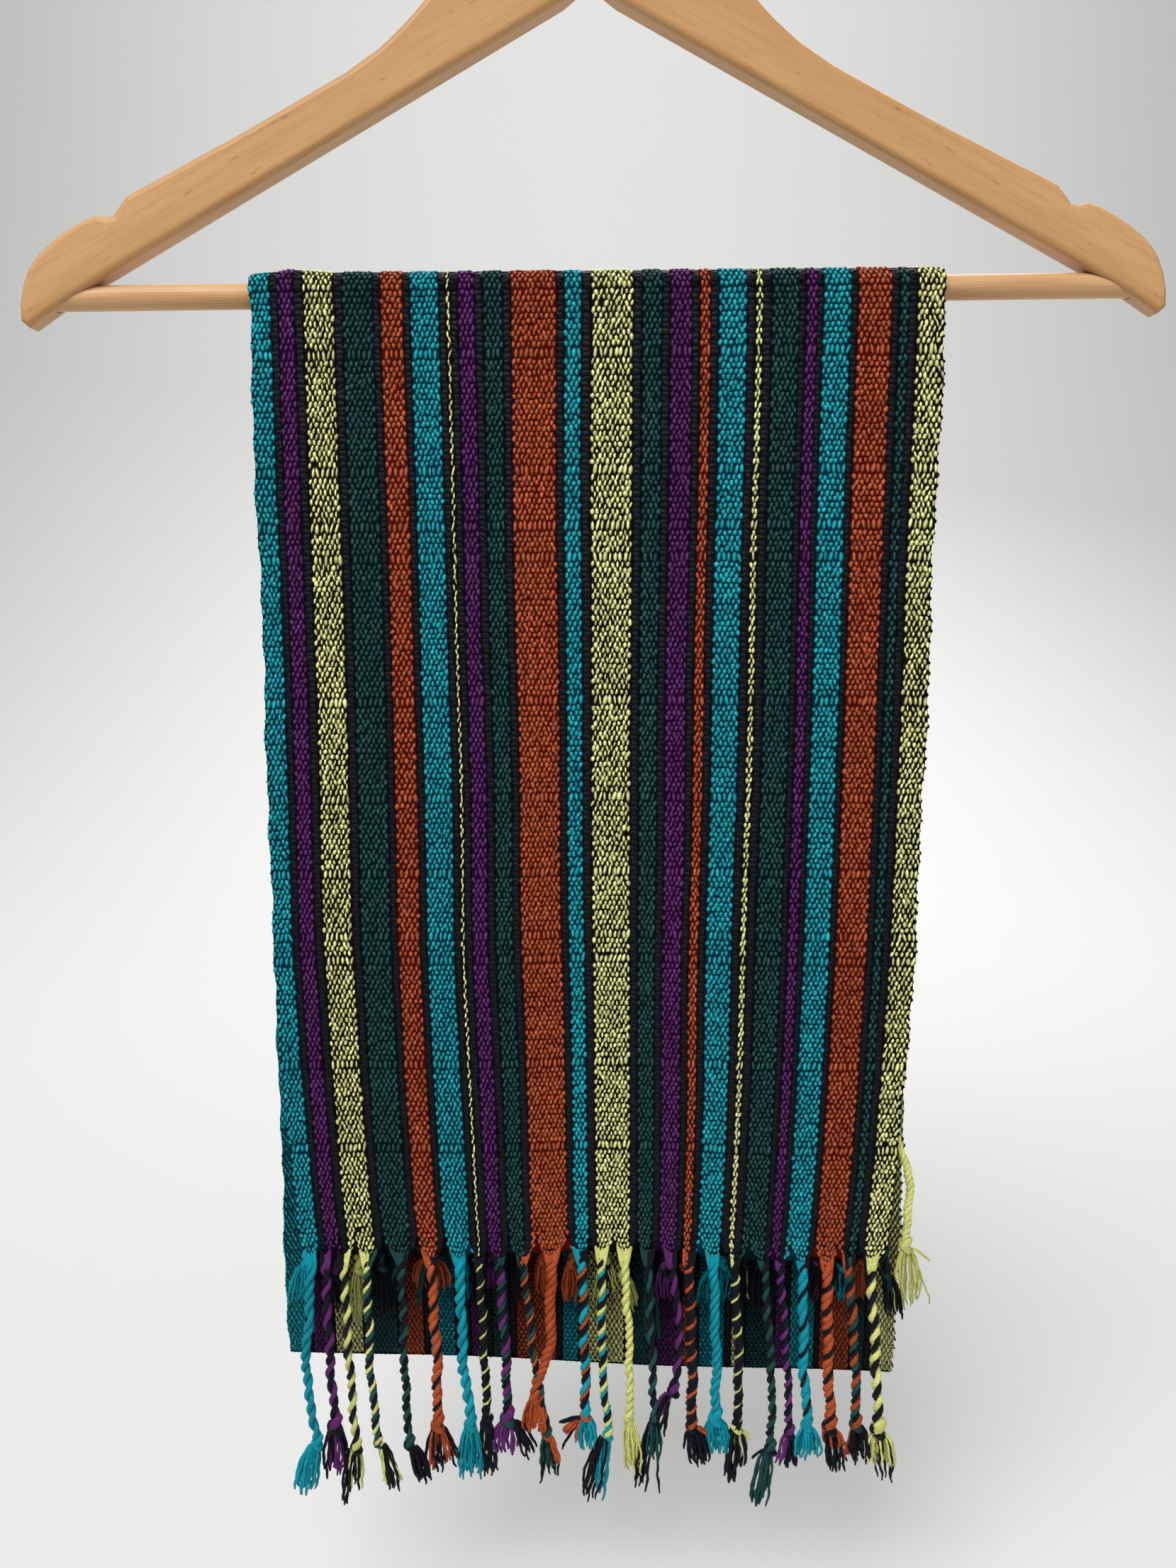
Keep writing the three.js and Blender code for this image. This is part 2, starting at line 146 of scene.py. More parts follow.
# What shows between the floats of each colour: the yarn below them, in their shade.
GAP = {
    "teal": (0.000, 0.026, 0.044),
    "purple": (0.018, 0.000, 0.026),
    "yellow": (0.006, 0.005, 0.001),
    "green": (0.000, 0.008, 0.009),
    "orange": (0.070, 0.003, 0.001),
    "black": (0.001, 0.001, 0.002),
}

# The stripes from the left selvedge to the right one: colour, its width on the loom, and the width of
# the black stripe that follows it.
STRIPES = (
    ("teal", 8.1, 3.1), ("purple", 6.1, 3.7), ("yellow", 12.0, 3.6), ("green", 11.8, 3.1),
    ("orange", 8.8, 3.0), ("teal", 11.0, 3.0), ("yellow", 1.5, 3.2), ("purple", 6.2, 3.5),
    ("green", 7.1, 3.5), ("orange", 17.3, 3.3), ("teal", 6.6, 3.9), ("yellow", 16.5, 3.7),
    ("green", 7.4, 3.5), ("purple", 8.3, 3.3), ("orange", 3.9, 3.4), ("teal", 10.8, 3.6),
    ("yellow", 2.6, 3.9), ("green", 10.4, 2.9), ("purple", 4.2, 2.6), ("teal", 10.7, 2.9),
    ("orange", 13.0, 3.2), ("green", 3.5, 3.4), ("yellow", 10.6, 0.0),
)
# A warp end's width, also in the two stripes that are mere lines; the bare rim of a coloured stripe;
# and the distance from one weft pick to the next.
END_WIDTH = 1.04
LINE_END_WIDTH = 0.8
LINE_STRIPE_BELOW = 3.0
STRIPE_INSET = 0.22
PICK = 2.11


def warp_plan():
    """Stripe bounds from 0 to 1 with their colours, each end's place, width, colour and number in its
    stripe, and the whole width."""
    bands = []
    for colour, width, black in STRIPES:
        bands.append((colour, width))
        if black:
            bands.append(("black", black))
    total = sum(width for _, width in bands)
    bounds, colours, ends = [0.0], [], []
    for colour, width in bands:
        thread = LINE_END_WIDTH if width < LINE_STRIPE_BELOW else END_WIDTH
        count = 1 if colour == "black" else max(2, round(width / thread))
        inset = 0.0 if colour == "black" else STRIPE_INSET
        step = (width - 2 * inset) / count
        for k in range(count):
            ends.append((bounds[-1] + (inset + (k + 0.5) * step) / total, step, colour, k))
        bounds.append(bounds[-1] + width / total)
        colours.append(colour)
    bounds[-1] = 1.0
    return np.array(bounds), colours, ends, total


BOUNDS, BAND_COLOURS, ENDS, LOOM_WIDTH = warp_plan()
END_PLACES, END_WIDTHS, END_COLOURS, END_NUMBERS = (np.array(column) for column in zip(*ENDS))


def colour_at(u):
    band = int(np.clip(np.searchsorted(BOUNDS, u) - 1, 0, len(BAND_COLOURS) - 1))
    return BAND_COLOURS[band]


# ---------------------------------------------------------------- fringe cords

# Each cord, across the scarf: where it leaves the hem, hangs half way and is knotted; its width, its
# knot's width, the length in which its plies make one turn, and its plies, with the share of a
# thinner one.
CORD_COLUMNS = (
    "root", "middle", "knot", "knot_z", "width", "knot_width", "lay", "plies")
FRONT_CORDS = (
    (-129.5, -134.7, -131.6, -719, 4.4, 6.0, 14.0, "teal teal"),
    (-123.5, -123.7, -123.0, -710, 4.4, 7.6, 13.0, "purple black"),
    (-115.5, -114.8, -113.8, -721, 4.1, 6.0, 11.0, "yellow black"),
    (-105.0, -105.7, -103.7, -719, 3.9, 4.7, 10.0, "yellow:0.75 green black"),
    (-89.7, -90.3, -89.4, -720, 4.1, 5.8, 10.0, "green black"),
    (-76.7, -75.4, -76.2, -710, 4.7, 6.8, 12.5, "orange orange black:0.6"),
    (-63.8, -63.6, -61.2, -710, 5.0, 6.4, 14.0, "teal teal"),
    (-54.9, -53.9, -53.8, -710, 4.2, 6.6, 8.5, "black black yellow:0.42"),
    (-46.3, -44.3, -44.3, -707, 4.5, 7.4, 11.3, "purple green:0.6 black:0.8"),
    (-35.8, -31.1, -26.4, -716, 3.9, 5.0, 10.0, "green:0.7 orange:0.5 black"),
    (-22.9, -24.6, -31.5, -697, 5.1, 5.6, 12.0, "orange orange orange"),
    (-9.4, -8.8, -8.8, -706, 4.6, 5.4, 12.0, "teal orange:0.6 black"),
    (-0.8, -0.7, 1.3, -716, 4.0, 5.2, 9.6, "yellow:0.75 teal:0.55 black"),
    (9.5, 11.4, 10.9, -708, 4.0, 5.0, 9.0, "yellow yellow"),
    (19.8, 21.6, 22.5, -709, 3.9, 4.9, 13.0, "green black"),
    (30.4, 34.3, 31.2, -694, 4.2, 6.0, 13.0, "purple black"),
    (37.9, 39.6, 39.5, -712, 5.1, 6.0, 8.6, "orange:0.62 black black"),
    (48.8, 50.4, 50.3, -708, 4.6, 7.2, 14.0, "teal teal teal"),
    (58.2, 60.7, 60.0, -713, 4.5, 5.6, 9.0, "black yellow:0.42 black"),
    (71.5, 75.6, 75.6, -724, 4.0, 6.0, 9.0, "green black:0.8"),
    (78.5, 82.4, 84.2, -716, 3.9, 5.4, 8.5, "purple:0.8 black"),
    (88.6, 90.0, 92.0, -712, 4.7, 6.0, 14.0, "teal teal black:0.45"),
    (99.5, 101.0, 102.4, -713, 5.0, 7.6, 11.0, "orange black:0.7 orange"),
    (109.2, 113.2, 114.3, -712, 4.4, 6.4, 11.0, "orange green:0.8 black:0.8"),
    (118.6, 122.6, 124.4, -715, 4.8, 7.8, 11.3, "yellow black"),
)
INNER_CORDS = (
    (-131.0, -132.5, -133.6, -633, 4.0, 5.4, 12.0, "teal teal"),
    (-123.5, -122.0, -120.5, -638, 4.2, 5.7, 12.0, "purple black"),
    (-115.0, -112.0, -110.0, -635, 4.2, 5.7, 10.0, "yellow yellow"),
    (-105.0, -102.0, -99.5, -634, 3.8, 5.1, 10.0, "black green"),
    (-90.0, -91.6, -92.6, -637, 3.8, 5.1, 10.0, "green black"),
    (-77.5, -77.6, -77.4, -629, 4.6, 6.2, 11.0, "orange orange"),
    (-64.0, -63.5, -63.2, -632, 4.4, 5.9, 14.0, "teal teal"),
    (-54.5, -56.0, -57.0, -634, 3.8, 5.1, 9.0, "black black yellow:0.42"),
    (-45.0, -48.4, -50.6, -632, 3.8, 5.1, 11.0, "purple black"),
    (-35.5, -36.5, -37.0, -633, 3.8, 5.1, 10.0, "green black"),
    (-23.0, -25.5, -27.0, -632, 4.6, 6.2, 12.0, "orange orange orange"),
    (-12.0, -13.6, -14.2, -634, 4.0, 5.4, 9.0, "orange orange"),
    (-0.2, 0.6, 1.2, -634, 3.6, 4.9, 9.6, "yellow black"),
    (9.6, 9.2, 9.0, -640, 3.8, 5.1, 9.0, "yellow yellow"),
    (20.4, 20.0, 20.5, -646, 4.0, 5.4, 13.0, "green black"),
    (31.0, 29.0, 27.4, -636, 5.0, 6.8, 12.0, "purple black:0.6"),
    (38.4, 37.4, 36.6, -636, 4.2, 5.7, 9.0, "black orange:0.5 black"),
    (49.0, 51.4, 53.4, -634, 5.0, 6.8, 12.0, "teal teal teal"),
    (58.6, 61.4, 63.4, -634, 3.8, 5.1, 9.0, "black black yellow:0.42"),
    (72.0, 71.4, 70.6, -636, 4.0, 5.4, 9.0, "green black"),
    (90.4, 93.4, 95.4, -633, 4.0, 5.4, 12.0, "black purple:0.6"),
    (101.6, 105.0, 107.2, -636, 5.0, 6.8, 11.0, "black teal:0.7 black"),
    (110.0, 114.0, 116.4, -633, 4.6, 6.2, 11.0, "orange orange"),
    (118.0, 124.4, 127.0, -640, 4.2, 5.7, 11.0, "black green:0.7"),
    (121.5, 136.0, 135.4, -627, 4.2, 6.4, 9.0, "yellow yellow yellow"),
)

# The loose yarn under each knot, as tufts of one colour: the cord by its number from the left, how far
# the tuft swings sideways, its length, its half width at the end, how many yarns and their radius.
TUFT_COLUMNS = ("cord", "colour", "swing", "length", "spread", "yarns", "radius")
FRONT_TUFTS = (
    (1, "teal", -7.0, 25, 4.6, 14, 0.62),
    (2, "black", -4.6, 26, 1.6, 4, 0.60), (2, "purple", 0.0, 24, 2.4, 7, 0.60),
    (2, "black", 4.6, 18, 1.4, 4, 0.60),
    (3, "black", -6.0, 29, 1.9, 6, 0.60), (3, "yellow", -0.6, 22, 2.4, 6, 0.55),
    (3, "black", -1.0, 23, 1.6, 2, 0.55),
    (4, "black", 6.4, 26, 2.8, 7, 0.60), (4, "yellow", 2.0, 20, 0.9, 3, 0.50),
    (4, "yellow", 9.4, 21, 0.8, 3, 0.45), (4, "black", 6.0, 6, 0.7, 2, 0.55),
    (5, "black", 5.6, 19, 3.8, 14, 0.60),
    (6, "black", -6.5, 18, 0.4, 2, 0.60), (6, "orange", -3.2, 22, 1.3, 5, 0.60),
    (6, "black", 0.8, 24, 2.2, 6, 0.60), (6, "orange", 5.6, 19, 1.2, 4, 0.55),
    (6, "black", 8.8, 22, 1.6, 3, 0.55),
    (7, "teal", -0.8, 27, 5.2, 17, 0.60),
    (8, "black", -2.2, 25, 2.2, 8, 0.60), (8, "yellow", -0.8, 17, 0.3, 2, 0.75),
    (8, "black", 2.8, 25, 1.4, 5, 0.60),
    (9, "purple", -0.6, 17, 6.0, 14, 0.62), (9, "black", 11.0, 18, 1.8, 5, 0.60),
    (9, "black", 8.4, 21, 1.4, 3, 0.60),
    (10, "green", -0.4, 17, 2.8, 8, 0.58), (10, "orange", 4.8, 15, 1.5, 4, 0.58),
    (10, "black", -2.6, 24, 0.8, 3, 0.55), (10, "black", 3.0, 20, 2.2, 4, 0.55),
    (11, "orange", -1.0, 18, 4.6, 15, 0.64),
    (12, "teal", 1.2, 18, 3.8, 10, 0.58), (12, "orange", -9.6, 9, 1.2, 4, 0.60),
    (12, "orange", -4.4, 16, 1.0, 3, 0.58), (12, "black", -11.0, 4, 0.8, 2, 0.60),
    (12, "black", -6.0, 2, 0.4, 1, 0.60), (12, "black", -10.6, 17, 0.5, 2, 0.60),
    (13, "black", -9.0, 32, 3.6, 9, 0.60), (13, "teal", -3.6, 33, 1.9, 5, 0.58),
    (13, "yellow", -6.4, 15, 0.7, 3, 0.45),
    (14, "yellow", 2.0, 27, 3.4, 19, 0.46),
    (15, "green", 0.0, 20, 3.0, 10, 0.55), (15, "black", -8.6, 33, 1.4, 4, 0.58),
    (15, "black", -5.0, 36, 0.9, 3, 0.58), (15, "black", 2.0, 38, 0.2, 1, 0.55),
    (16, "purple", -7.6, 14, 1.8, 5, 0.58), (16, "purple", -7.0, 6, 0.3, 1, 0.55),
    (16, "black", -7.2, 22, 1.6, 5, 0.60), (16, "black", -4.0, 23, 0.5, 2, 0.58),
    (17, "black", 4.2, 20, 4.2, 13, 0.62), (17, "black", -3.6, 12, 0.3, 1, 0.60),
    (17, "orange", 7.0, 5, 0.6, 2, 0.60),
    (18, "teal", 1.2, 18, 5.2, 20, 0.48),
    (19, "black", -2.6, 29, 2.3, 7, 0.60), (19, "yellow", 0.8, 16, 1.1, 4, 0.40),
    (19, "black", 3.4, 22, 1.4, 5, 0.58), (19, "yellow", 6.2, 7, 0.9, 3, 0.38),
    (20, "black", -8.4, 5, 0.4, 2, 0.55), (20, "green", -5.4, 29, 3.6, 12, 0.58),
    (21, "purple", -4.6, 17, 1.5, 5, 0.58), (21, "black", -0.6, 19, 1.3, 4, 0.58),
    (21, "black", 2.8, 18, 0.7, 3, 0.55),
    (22, "teal", 0.5, 17, 5.6, 17, 0.56),
    (23, "orange", 2.0, 11, 3.8, 9, 0.62), (23, "orange", 7.6, 16, 0.7, 2, 0.58),
    (23, "black", 2.4, 24, 2.7, 8, 0.62), (23, "black", 8.2, 22, 0.6, 2, 0.58),
    (24, "orange", -3.0, 16, 0.8, 4, 0.58), (24, "black", 2.8, 20, 4.2, 13, 0.60),
    (25, "yellow", 2.0, 18, 6.2, 15, 0.52), (25, "black", 4.0, 25, 3.8, 7, 0.50),
)
INNER_TUFTS = (
    (1, "teal", -5.0, 19, 3.8, 14, 0.42), (2, "purple", 0.0, 16, 2.4, 6, 0.55),
    (2, "black", 2.0, 18, 2.2, 5, 0.55), (3, "yellow", 0.3, 27, 3.4, 14, 0.44),
    (4, "black", 1.0, 28, 3.4, 9, 0.50), (5, "green", -1.0, 9, 2.0, 3, 0.50),
    (5, "black", 0.0, 24, 3.4, 8, 0.50), (6, "orange", 0.0, 17, 8.4, 16, 0.55),
    (6, "green", -6.4, 24, 1.4, 4, 0.50), (7, "teal", 0.0, 18, 3.0, 9, 0.50),
    (8, "black", 0.0, 20, 2.4, 8, 0.50), (9, "purple", -0.4, 15, 2.0, 7, 0.50),
    (10, "black", 0.0, 22, 2.4, 6, 0.50), (10, "green", 1.0, 14, 1.6, 3, 0.50),
    (11, "orange", 0.0, 19, 3.4, 11, 0.52), (12, "orange", -1.0, 18, 3.0, 11, 0.52),
    (13, "yellow", -3.8, 18, 2.2, 5, 0.36), (13, "yellow", 4.0, 14, 1.8, 3, 0.36),
    (13, "black", 0.0, 18, 2.0, 4, 0.50), (14, "yellow", 4.8, 18, 1.8, 8, 0.44),
    (15, "green", 2.0, 28, 3.0, 9, 0.52), (16, "purple", 0.0, 16, 3.0, 9, 0.55),
    (17, "black", 0.0, 20, 2.2, 7, 0.52), (18, "teal", -3.0, 20, 8.0, 17, 0.42),
    (19, "black", 0.0, 22, 2.4, 7, 0.50), (19, "yellow", 2.0, 18, 1.2, 2, 0.50),
    (20, "black", 0.0, 24, 3.0, 9, 0.52), (21, "purple", 0.0, 21, 1.1, 4, 0.48),
    (21, "black", -2.0, 22, 2.6, 7, 0.52), (22, "teal", 0.0, 18, 2.4, 6, 0.52),
    (22, "black", 0.0, 15, 2.6, 6, 0.55), (23, "orange", 0.0, 21, 4.2, 15, 0.52),
    (24, "black", 5.0, 22, 3.4, 10, 0.55), (24, "green", 2.0, 12, 1.2, 3, 0.52),
    (25, "yellow", 2.0, 31, 5.6, 17, 0.40), (25, "yellow", 12.0, 27, 0.6, 1, 0.36),
    (25, "yellow", 11.0, 7, 0.6, 2, 0.36),
)

# How much of the light reaches the inner cords, in the shade of the outer ones.
INNER_CORD_SHADE = 0.6


def cord_rows(cords, tufts, shade):
    """One dict for each cord, with its tufts and its share of the light."""
    rows = [dict(zip(CORD_COLUMNS, row), tufts=[], shade=shade) for row in cords]
    for tuft in tufts:
        named = dict(zip(TUFT_COLUMNS, tuft))
        rows[named["cord"] - 1]["tufts"].append(named)
    return rows


FRONT_ROWS = cord_rows(FRONT_CORDS, FRONT_TUFTS, 1.0)
FRONT_ROOTS = np.array([row["root"] for row in FRONT_ROWS])
INNER_ROWS = cord_rows(INNER_CORDS, INNER_TUFTS, INNER_CORD_SHADE)
# The first and the last inner cord hang out beside the cloth, in the light.
for row in (INNER_ROWS[0], INNER_ROWS[-1]):
    row["shade"] = 1.0


# ---------------------------------------------------------------- the cloth's form

# The small, uneven sway of a handwoven selvedge: size, length, turns of the phase, and shift. It fades
# within a share of the width.
SELVEDGE_WAVES = ((0.34, 3.1, 1, 0.0), (0.28, 7.3, 2, 2.0), (0.42, 19.0, 1, 1.0))
SELVEDGE_PHASES = {"left": 0.0, "right": 1.9}
SWAY_REACH = 0.025
# The slow drift of the stripes: size, length down the cloth, and turn across it.
DRIFT_WAVES = ((0.35, 61.0, 9.0), (0.2, 23.0, -17.0))
CORNER_REACH = 14.0


def smoothstep(value, start, full):
    t = np.clip((value - start) / (full - start), 0, 1)
    return t * t * (3 - 2 * t)


def side_edge(edges, side, z):
    """Place of a selvedge at height z: the table's line with rounded corners."""
    heights = np.array(edges["z"][::-1], float)
    values = np.array(edges[side][::-1], float)
    return sum(
        share * np.interp(z + offset, heights, values)
        for share, offset in ((0.25, -CORNER_REACH), (0.5, 0.0), (0.25, CORNER_REACH))
    )


def selvedge_sway(z, side):
    phase = SELVEDGE_PHASES[side]
    return sum(
        size * np.sin(z / length + turns * phase + shift)
        for size, length, turns, shift in SELVEDGE_WAVES)


def stripe_lean(lean, u, z):
    size = np.interp(z, lean["z"], lean["size"])
    near = np.exp(-((u - lean["place"]) / lean["reach"]) ** 2 / 2)
    return size * near + ALL_STRIPES_LEAN


def across(edges, u, z):
    """x of the place u, from 0 at the left selvedge to 1 at the right one, at height z."""
    u, z = np.broadcast_arrays(np.asarray(u, float), np.asarray(z, float))
    left, right = side_edge(edges, "left", z), side_edge(edges, "right", z)
    drift = sum(size * np.sin(z / length + turn * u) for size, length, turn in DRIFT_WAVES)
    x = left + (right - left) * u + drift * np.sin(np.pi * u)
    x = x + selvedge_sway(z, "left") * np.exp(-u / SWAY_REACH)
    x = x + selvedge_sway(z, "right") * np.exp(-(1 - u) / SWAY_REACH)
    if "lean" in edges:
        x = x + stripe_lean(edges["lean"], u, z)
    return x


def edge_height(edge, u):
    return np.interp(u, (0.0, 0.5, 1.0), edge)


def wave_depth(waves, x, z):
    growth = smoothstep(-z, -waves["start"], -waves["full"])
    return waves["size"] * growth * np.sin(TURN * (x / waves["length"] + waves["shift"]))


# Near the hem the cloth draws together: how far up, what share of the way to the cord, how much
# higher it is between two cords, and how much lower at a cord. HEM_SIDES lie just past the selvedges.
HEM_REACH = 4.5
HEM_PULL = 0.36
HEM_ARCH = 3.0
HEM_DROP = 1.4
HEM_SIDES = (-140.0, 130.0)


def gathered(x, z, hem):
    """Near its hem the cloth draws together towards each cord, which leaves small arches between."""
    bounds = (FRONT_ROOTS[1:] + FRONT_ROOTS[:-1]) / 2
    index = np.searchsorted(bounds, x)
    root = FRONT_ROOTS[index]
    low = np.concatenate((HEM_SIDES[:1], bounds))[index]
    high = np.concatenate((bounds, HEM_SIDES[1:]))[index]
    half = np.where(x < root, root - low, high - root)
    apart = np.clip((x - root) / half, -1, 1)
    share = np.exp(-np.maximum(z - hem, 0) / HEM_REACH)
    return (
        x + (root - x) * HEM_PULL * share,
        z + share * (HEM_ARCH * apart**2 - HEM_DROP),
    )


def drop(u, t, radius, side, edges, lower, waves, gather=False):
    """A hanging stretch: t is 0 at the bar and 1 at the lower edge."""
    hem = edge_height(lower, u)
    z = BAR_Z + (hem - BAR_Z) * t
    x = across(edges, u, z)
    y = side * radius + wave_depth(waves, x, z)
    if gather:
        x, z = gathered(x, z, hem)
    return np.stack([x, y, z], -1)


# How much higher or lower than round the outer layer passes over the bar: a small hump close to the
# left selvedge, and a soft sag from there to the right one. The inner layer has a share of it.
TURN_LIFT = {"u": (0.0, 0.06, 0.12, 0.5, 1.0), "lift": (-0.9, 0.9, -0.3, -0.8, -1.2)}
INNER_LIFT_SHARE = 0.4


def turn(u, t, radius, edges, share=1.0):
    """Half a turn over the bar, from the front at t = 0 to the back at t = 1."""
    angle = np.pi * t
    start, end = across(edges, u, BAR_Z), across(BACK_EDGES, u, BAR_Z)
    lift = share * np.interp(u, TURN_LIFT["u"], TURN_LIFT["lift"])
    return np.stack([
        start + (end - start) * t,
        -radius * np.cos(angle),
        BAR_Z + (radius + lift) * np.sin(angle),
    ], -1)


FOLD_RADIUS = (OUTER_RADIUS - INNER_RADIUS) / 2
FOLD_FULLNESS = 0.5
# The back ends above its fold by the fold's radius and half its wall.
ABOVE_FOLD = tuple(z + FOLD_RADIUS + WALL / 2 for z in BACK_FOLD)


def fold(u, t):
    """The soft fold at the foot of the back, from the outer layer to the inner one."""
    angle = np.pi * t
    centre = edge_height(BACK_FOLD, u) + FOLD_RADIUS + WALL / 2
    x = across(BACK_EDGES, u, centre)
    radius = FOLD_RADIUS + FOLD_FULLNESS * np.sin(angle)
    middle = (OUTER_RADIUS + INNER_RADIUS) / 2
    y = middle + radius * np.cos(angle) + wave_depth(BACK_WAVES, x, centre)
    return np.stack([x, y, centre - radius * np.sin(angle)], -1)


# The cloth's stretches in order, each with its length and its form for u across and t along.
STRETCHES = {
    "front": (404.0, lambda u, t: drop(
        u, 1 - t, OUTER_RADIUS, -1, OUTER_FRONT_EDGES, OUTER_HEM, FRONT_WAVES, gather=True)),
    "turn": (math.pi * OUTER_RADIUS, lambda u, t: turn(u, t, OUTER_RADIUS, OUTER_FRONT_EDGES)),
    "back": (466.0, lambda u, t: drop(
        u, t, OUTER_RADIUS, 1, BACK_EDGES, ABOVE_FOLD, BACK_WAVES)),
    "fold": (math.pi * (FOLD_RADIUS + FOLD_FULLNESS), fold),
    "back_inside": (466.0, lambda u, t: drop(
        u, 1 - t, INNER_RADIUS, 1, BACK_EDGES, ABOVE_FOLD, BACK_WAVES)),
    "turn_inside": (math.pi * INNER_RADIUS, lambda u, t: turn(
        u, 1 - t, INNER_RADIUS, INNER_FRONT_EDGES, INNER_LIFT_SHARE)),
    "front_inside": (325.0, lambda u, t: drop(
        u, t, INNER_RADIUS, -1, INNER_FRONT_EDGES, INNER_HEM, FRONT_WAVES)),
}


def unit(vectors):
    return vectors / np.maximum(np.linalg.norm(vectors, axis=-1, keepdims=True), 1e-9)


def surface(stretch, u, t):
    """Points of the cloth's middle with the directions along the warp, along the weft and outwards."""
    length, form = STRETCHES[stretch]
    dt, du = 0.5 / length, 0.002
    along = unit(form(u, t + dt) - form(u, t - dt))
    weft = unit(form(u + du, t) - form(u - du, t))
    return form(u, t), along, weft, unit(np.cross(weft, along))


# ---------------------------------------------------------------- mesh helpers

def make_object(name, points, faces, material, uv, colours, domain="POINT"):
    """An object at the origin from millimetre points. uv and each of the colours has a row for each
    point, or for each corner of each face."""
    mesh = bpy.data.meshes.new(name)
    mesh.from_pydata((points * MM).tolist(), [], faces.tolist())
    for key, values in colours.items():
        layer = mesh.color_attributes.new(name=key, type="FLOAT_COLOR", domain=domain)
        full = np.ones((len(values), 4), np.float32)
        full[:, :3] = values
        layer.data.foreach_set("color", full.ravel())
    if domain == "POINT":
        uv = uv[faces.ravel()]
    layer = mesh.uv_layers.new(name="yarn_uv")
    layer.data.foreach_set("uv", uv.astype(np.float32).ravel())
    mesh.shade_smooth()
    mesh.materials.append(material)
    made = bpy.data.objects.new(name, mesh)
    bpy.context.collection.objects.link(made)
    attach(made, "root")
    return made


class Batch:
    """Many small closed forms gathered into one mesh."""

    def __init__(self):
        self.points, self.faces, self.colours, self.uv, self.count = [], [], [], [], 0

    def add(self, points, faces, colours, uv):
        self.points.append(points)
        self.faces.append(faces + self.count)
        self.colours.append(colours)
        self.uv.append(uv)
        self.count += len(points)

    def build(self, name, material):
        points, faces, colours, uv = (
            np.concatenate(parts) for parts in (self.points, self.faces, self.colours, self.uv))
        # The yarn colour layer holds each yarn's colour times its painted shade, and on the floats a
        # painted highlight on the ridge too.
        return make_object(name, points, faces, material, uv, {"yarn": colours})


# One float as shares of its length, width and height: a ring of points round its foot, then a ridge.
# FINE_FLOAT is for the side that is seen close to, PLAIN_FLOAT for the back. The foot is in the shade
# of its neighbours, and the ridge catches the light.
FOOT_SHADE, SIDE_SHADE, RIDGE_SHADE = 0.5, 0.66, 1.15
FINE_FLOAT = {
    "along": np.array([0.5, 0.2, -0.2, -0.5, -0.2, 0.2, 0.2, -0.2]),
    "across": np.array([0, 0.5, 0.5, 0, -0.5, -0.5, 0, 0]),
    "height": np.array([-0.1, 0.2, 0.2, -0.1, 0.2, 0.2, 1.0, 1.0]),
    "shade": np.array(
        [FOOT_SHADE, SIDE_SHADE, SIDE_SHADE, FOOT_SHADE, SIDE_SHADE, SIDE_SHADE] + 2 * [RIDGE_SHADE]),
    "faces": np.array([
        (6, 1, 0), (6, 0, 5), (7, 3, 2), (7, 4, 3), (7, 2, 1), (7, 1, 6), (6, 5, 4), (6, 4, 7),
        (0, 1, 5), (1, 2, 5), (2, 4, 5), (2, 3, 4),
    ]),
}
PLAIN_FLOAT = {
    "along": np.array([0.5, 0, -0.5, 0, 0.2, -0.2]),
    "across": np.array([0, 0.5, 0, -0.5, 0, 0]),
    "height": np.array([-0.1, 0.1, -0.1, 0.1, 1.0, 1.0]),
    "shade": np.array([FOOT_SHADE, SIDE_SHADE, FOOT_SHADE, SIDE_SHADE] + 2 * [RIDGE_SHADE]),
    "faces": np.array([
        (4, 1, 0), (4, 0, 3), (5, 2, 1), (5, 3, 2), (5, 1, 4), (4, 3, 5), (0, 1, 3), (1, 2, 3),
    ]),
}
# How far the fibre texture moves along from one float to the next.
TEXTURE_STEP = 0.37


def add_floats(batch, shape, here, along, weft, out, sizes, colours, slant):
    """Floats at many places: sizes is (length, width, height) for each, in millimetres."""
    length, width, height = (s[:, None] for s in sizes)
    a = shape["along"][None] * length
    b = shape["across"][None] * width + slant[:, None] * a
    h = shape["height"][None] * height
    points = (
        here[:, None] + along[:, None] * a[..., None]
        + weft[:, None] * b[..., None] + out[:, None] * h[..., None]
    )
    count, corners = len(here), len(shape["along"])
    faces = (shape["faces"][None] + (np.arange(count) * corners)[:, None, None]).reshape(-1, 3)
    # Painted shade at each float's foot and a painted highlight on its ridge, multiplied into its
    # colour.
    shade = colours[:, None] * shape["shade"][None, :, None]
    local = np.stack([
        np.broadcast_to(shape["across"], (count, corners)),
        np.broadcast_to(shape["along"], (count, corners)) + np.arange(count)[:, None] * TEXTURE_STEP,
    ], -1)
    batch.add(points.reshape(-1, 3), faces, shade.reshape(-1, 3), local.reshape(-1, 2))


# ---------------------------------------------------------------- the weave

SHEET_HALF = 0.45
FLOAT_LENGTH = 2.8
FLOAT_HEIGHT = 0.64
FLOAT_SPREAD = 1.64
# The yellow yarn is thinner and less even than the others, so more of the black weft shows between
# its floats, and one is missing now and then.
YELLOW_SPREAD = 0.80
YELLOW_UNEVEN = (0.72, 1.28)
LOOSE_DROPS = 0.004
# A black stripe is a row of flat pads, one for each pick: shares of the stripe and of the pick.
PAD_SPREAD = 1.28
PAD_PICK = 1.6
PAD_HEIGHT = 0.11
PAD_SHADE = 0.66
PAD_ROUND = 0.1
# The yarn inside the fold is in the shade of the layers, deepest at the height of the front hem.
INSIDE_SHADE = 0.32
SHADE_LOW = 0.09
SHADE_ENDS = (620.0, 672.0)
FOLD_SHADE = 0.9
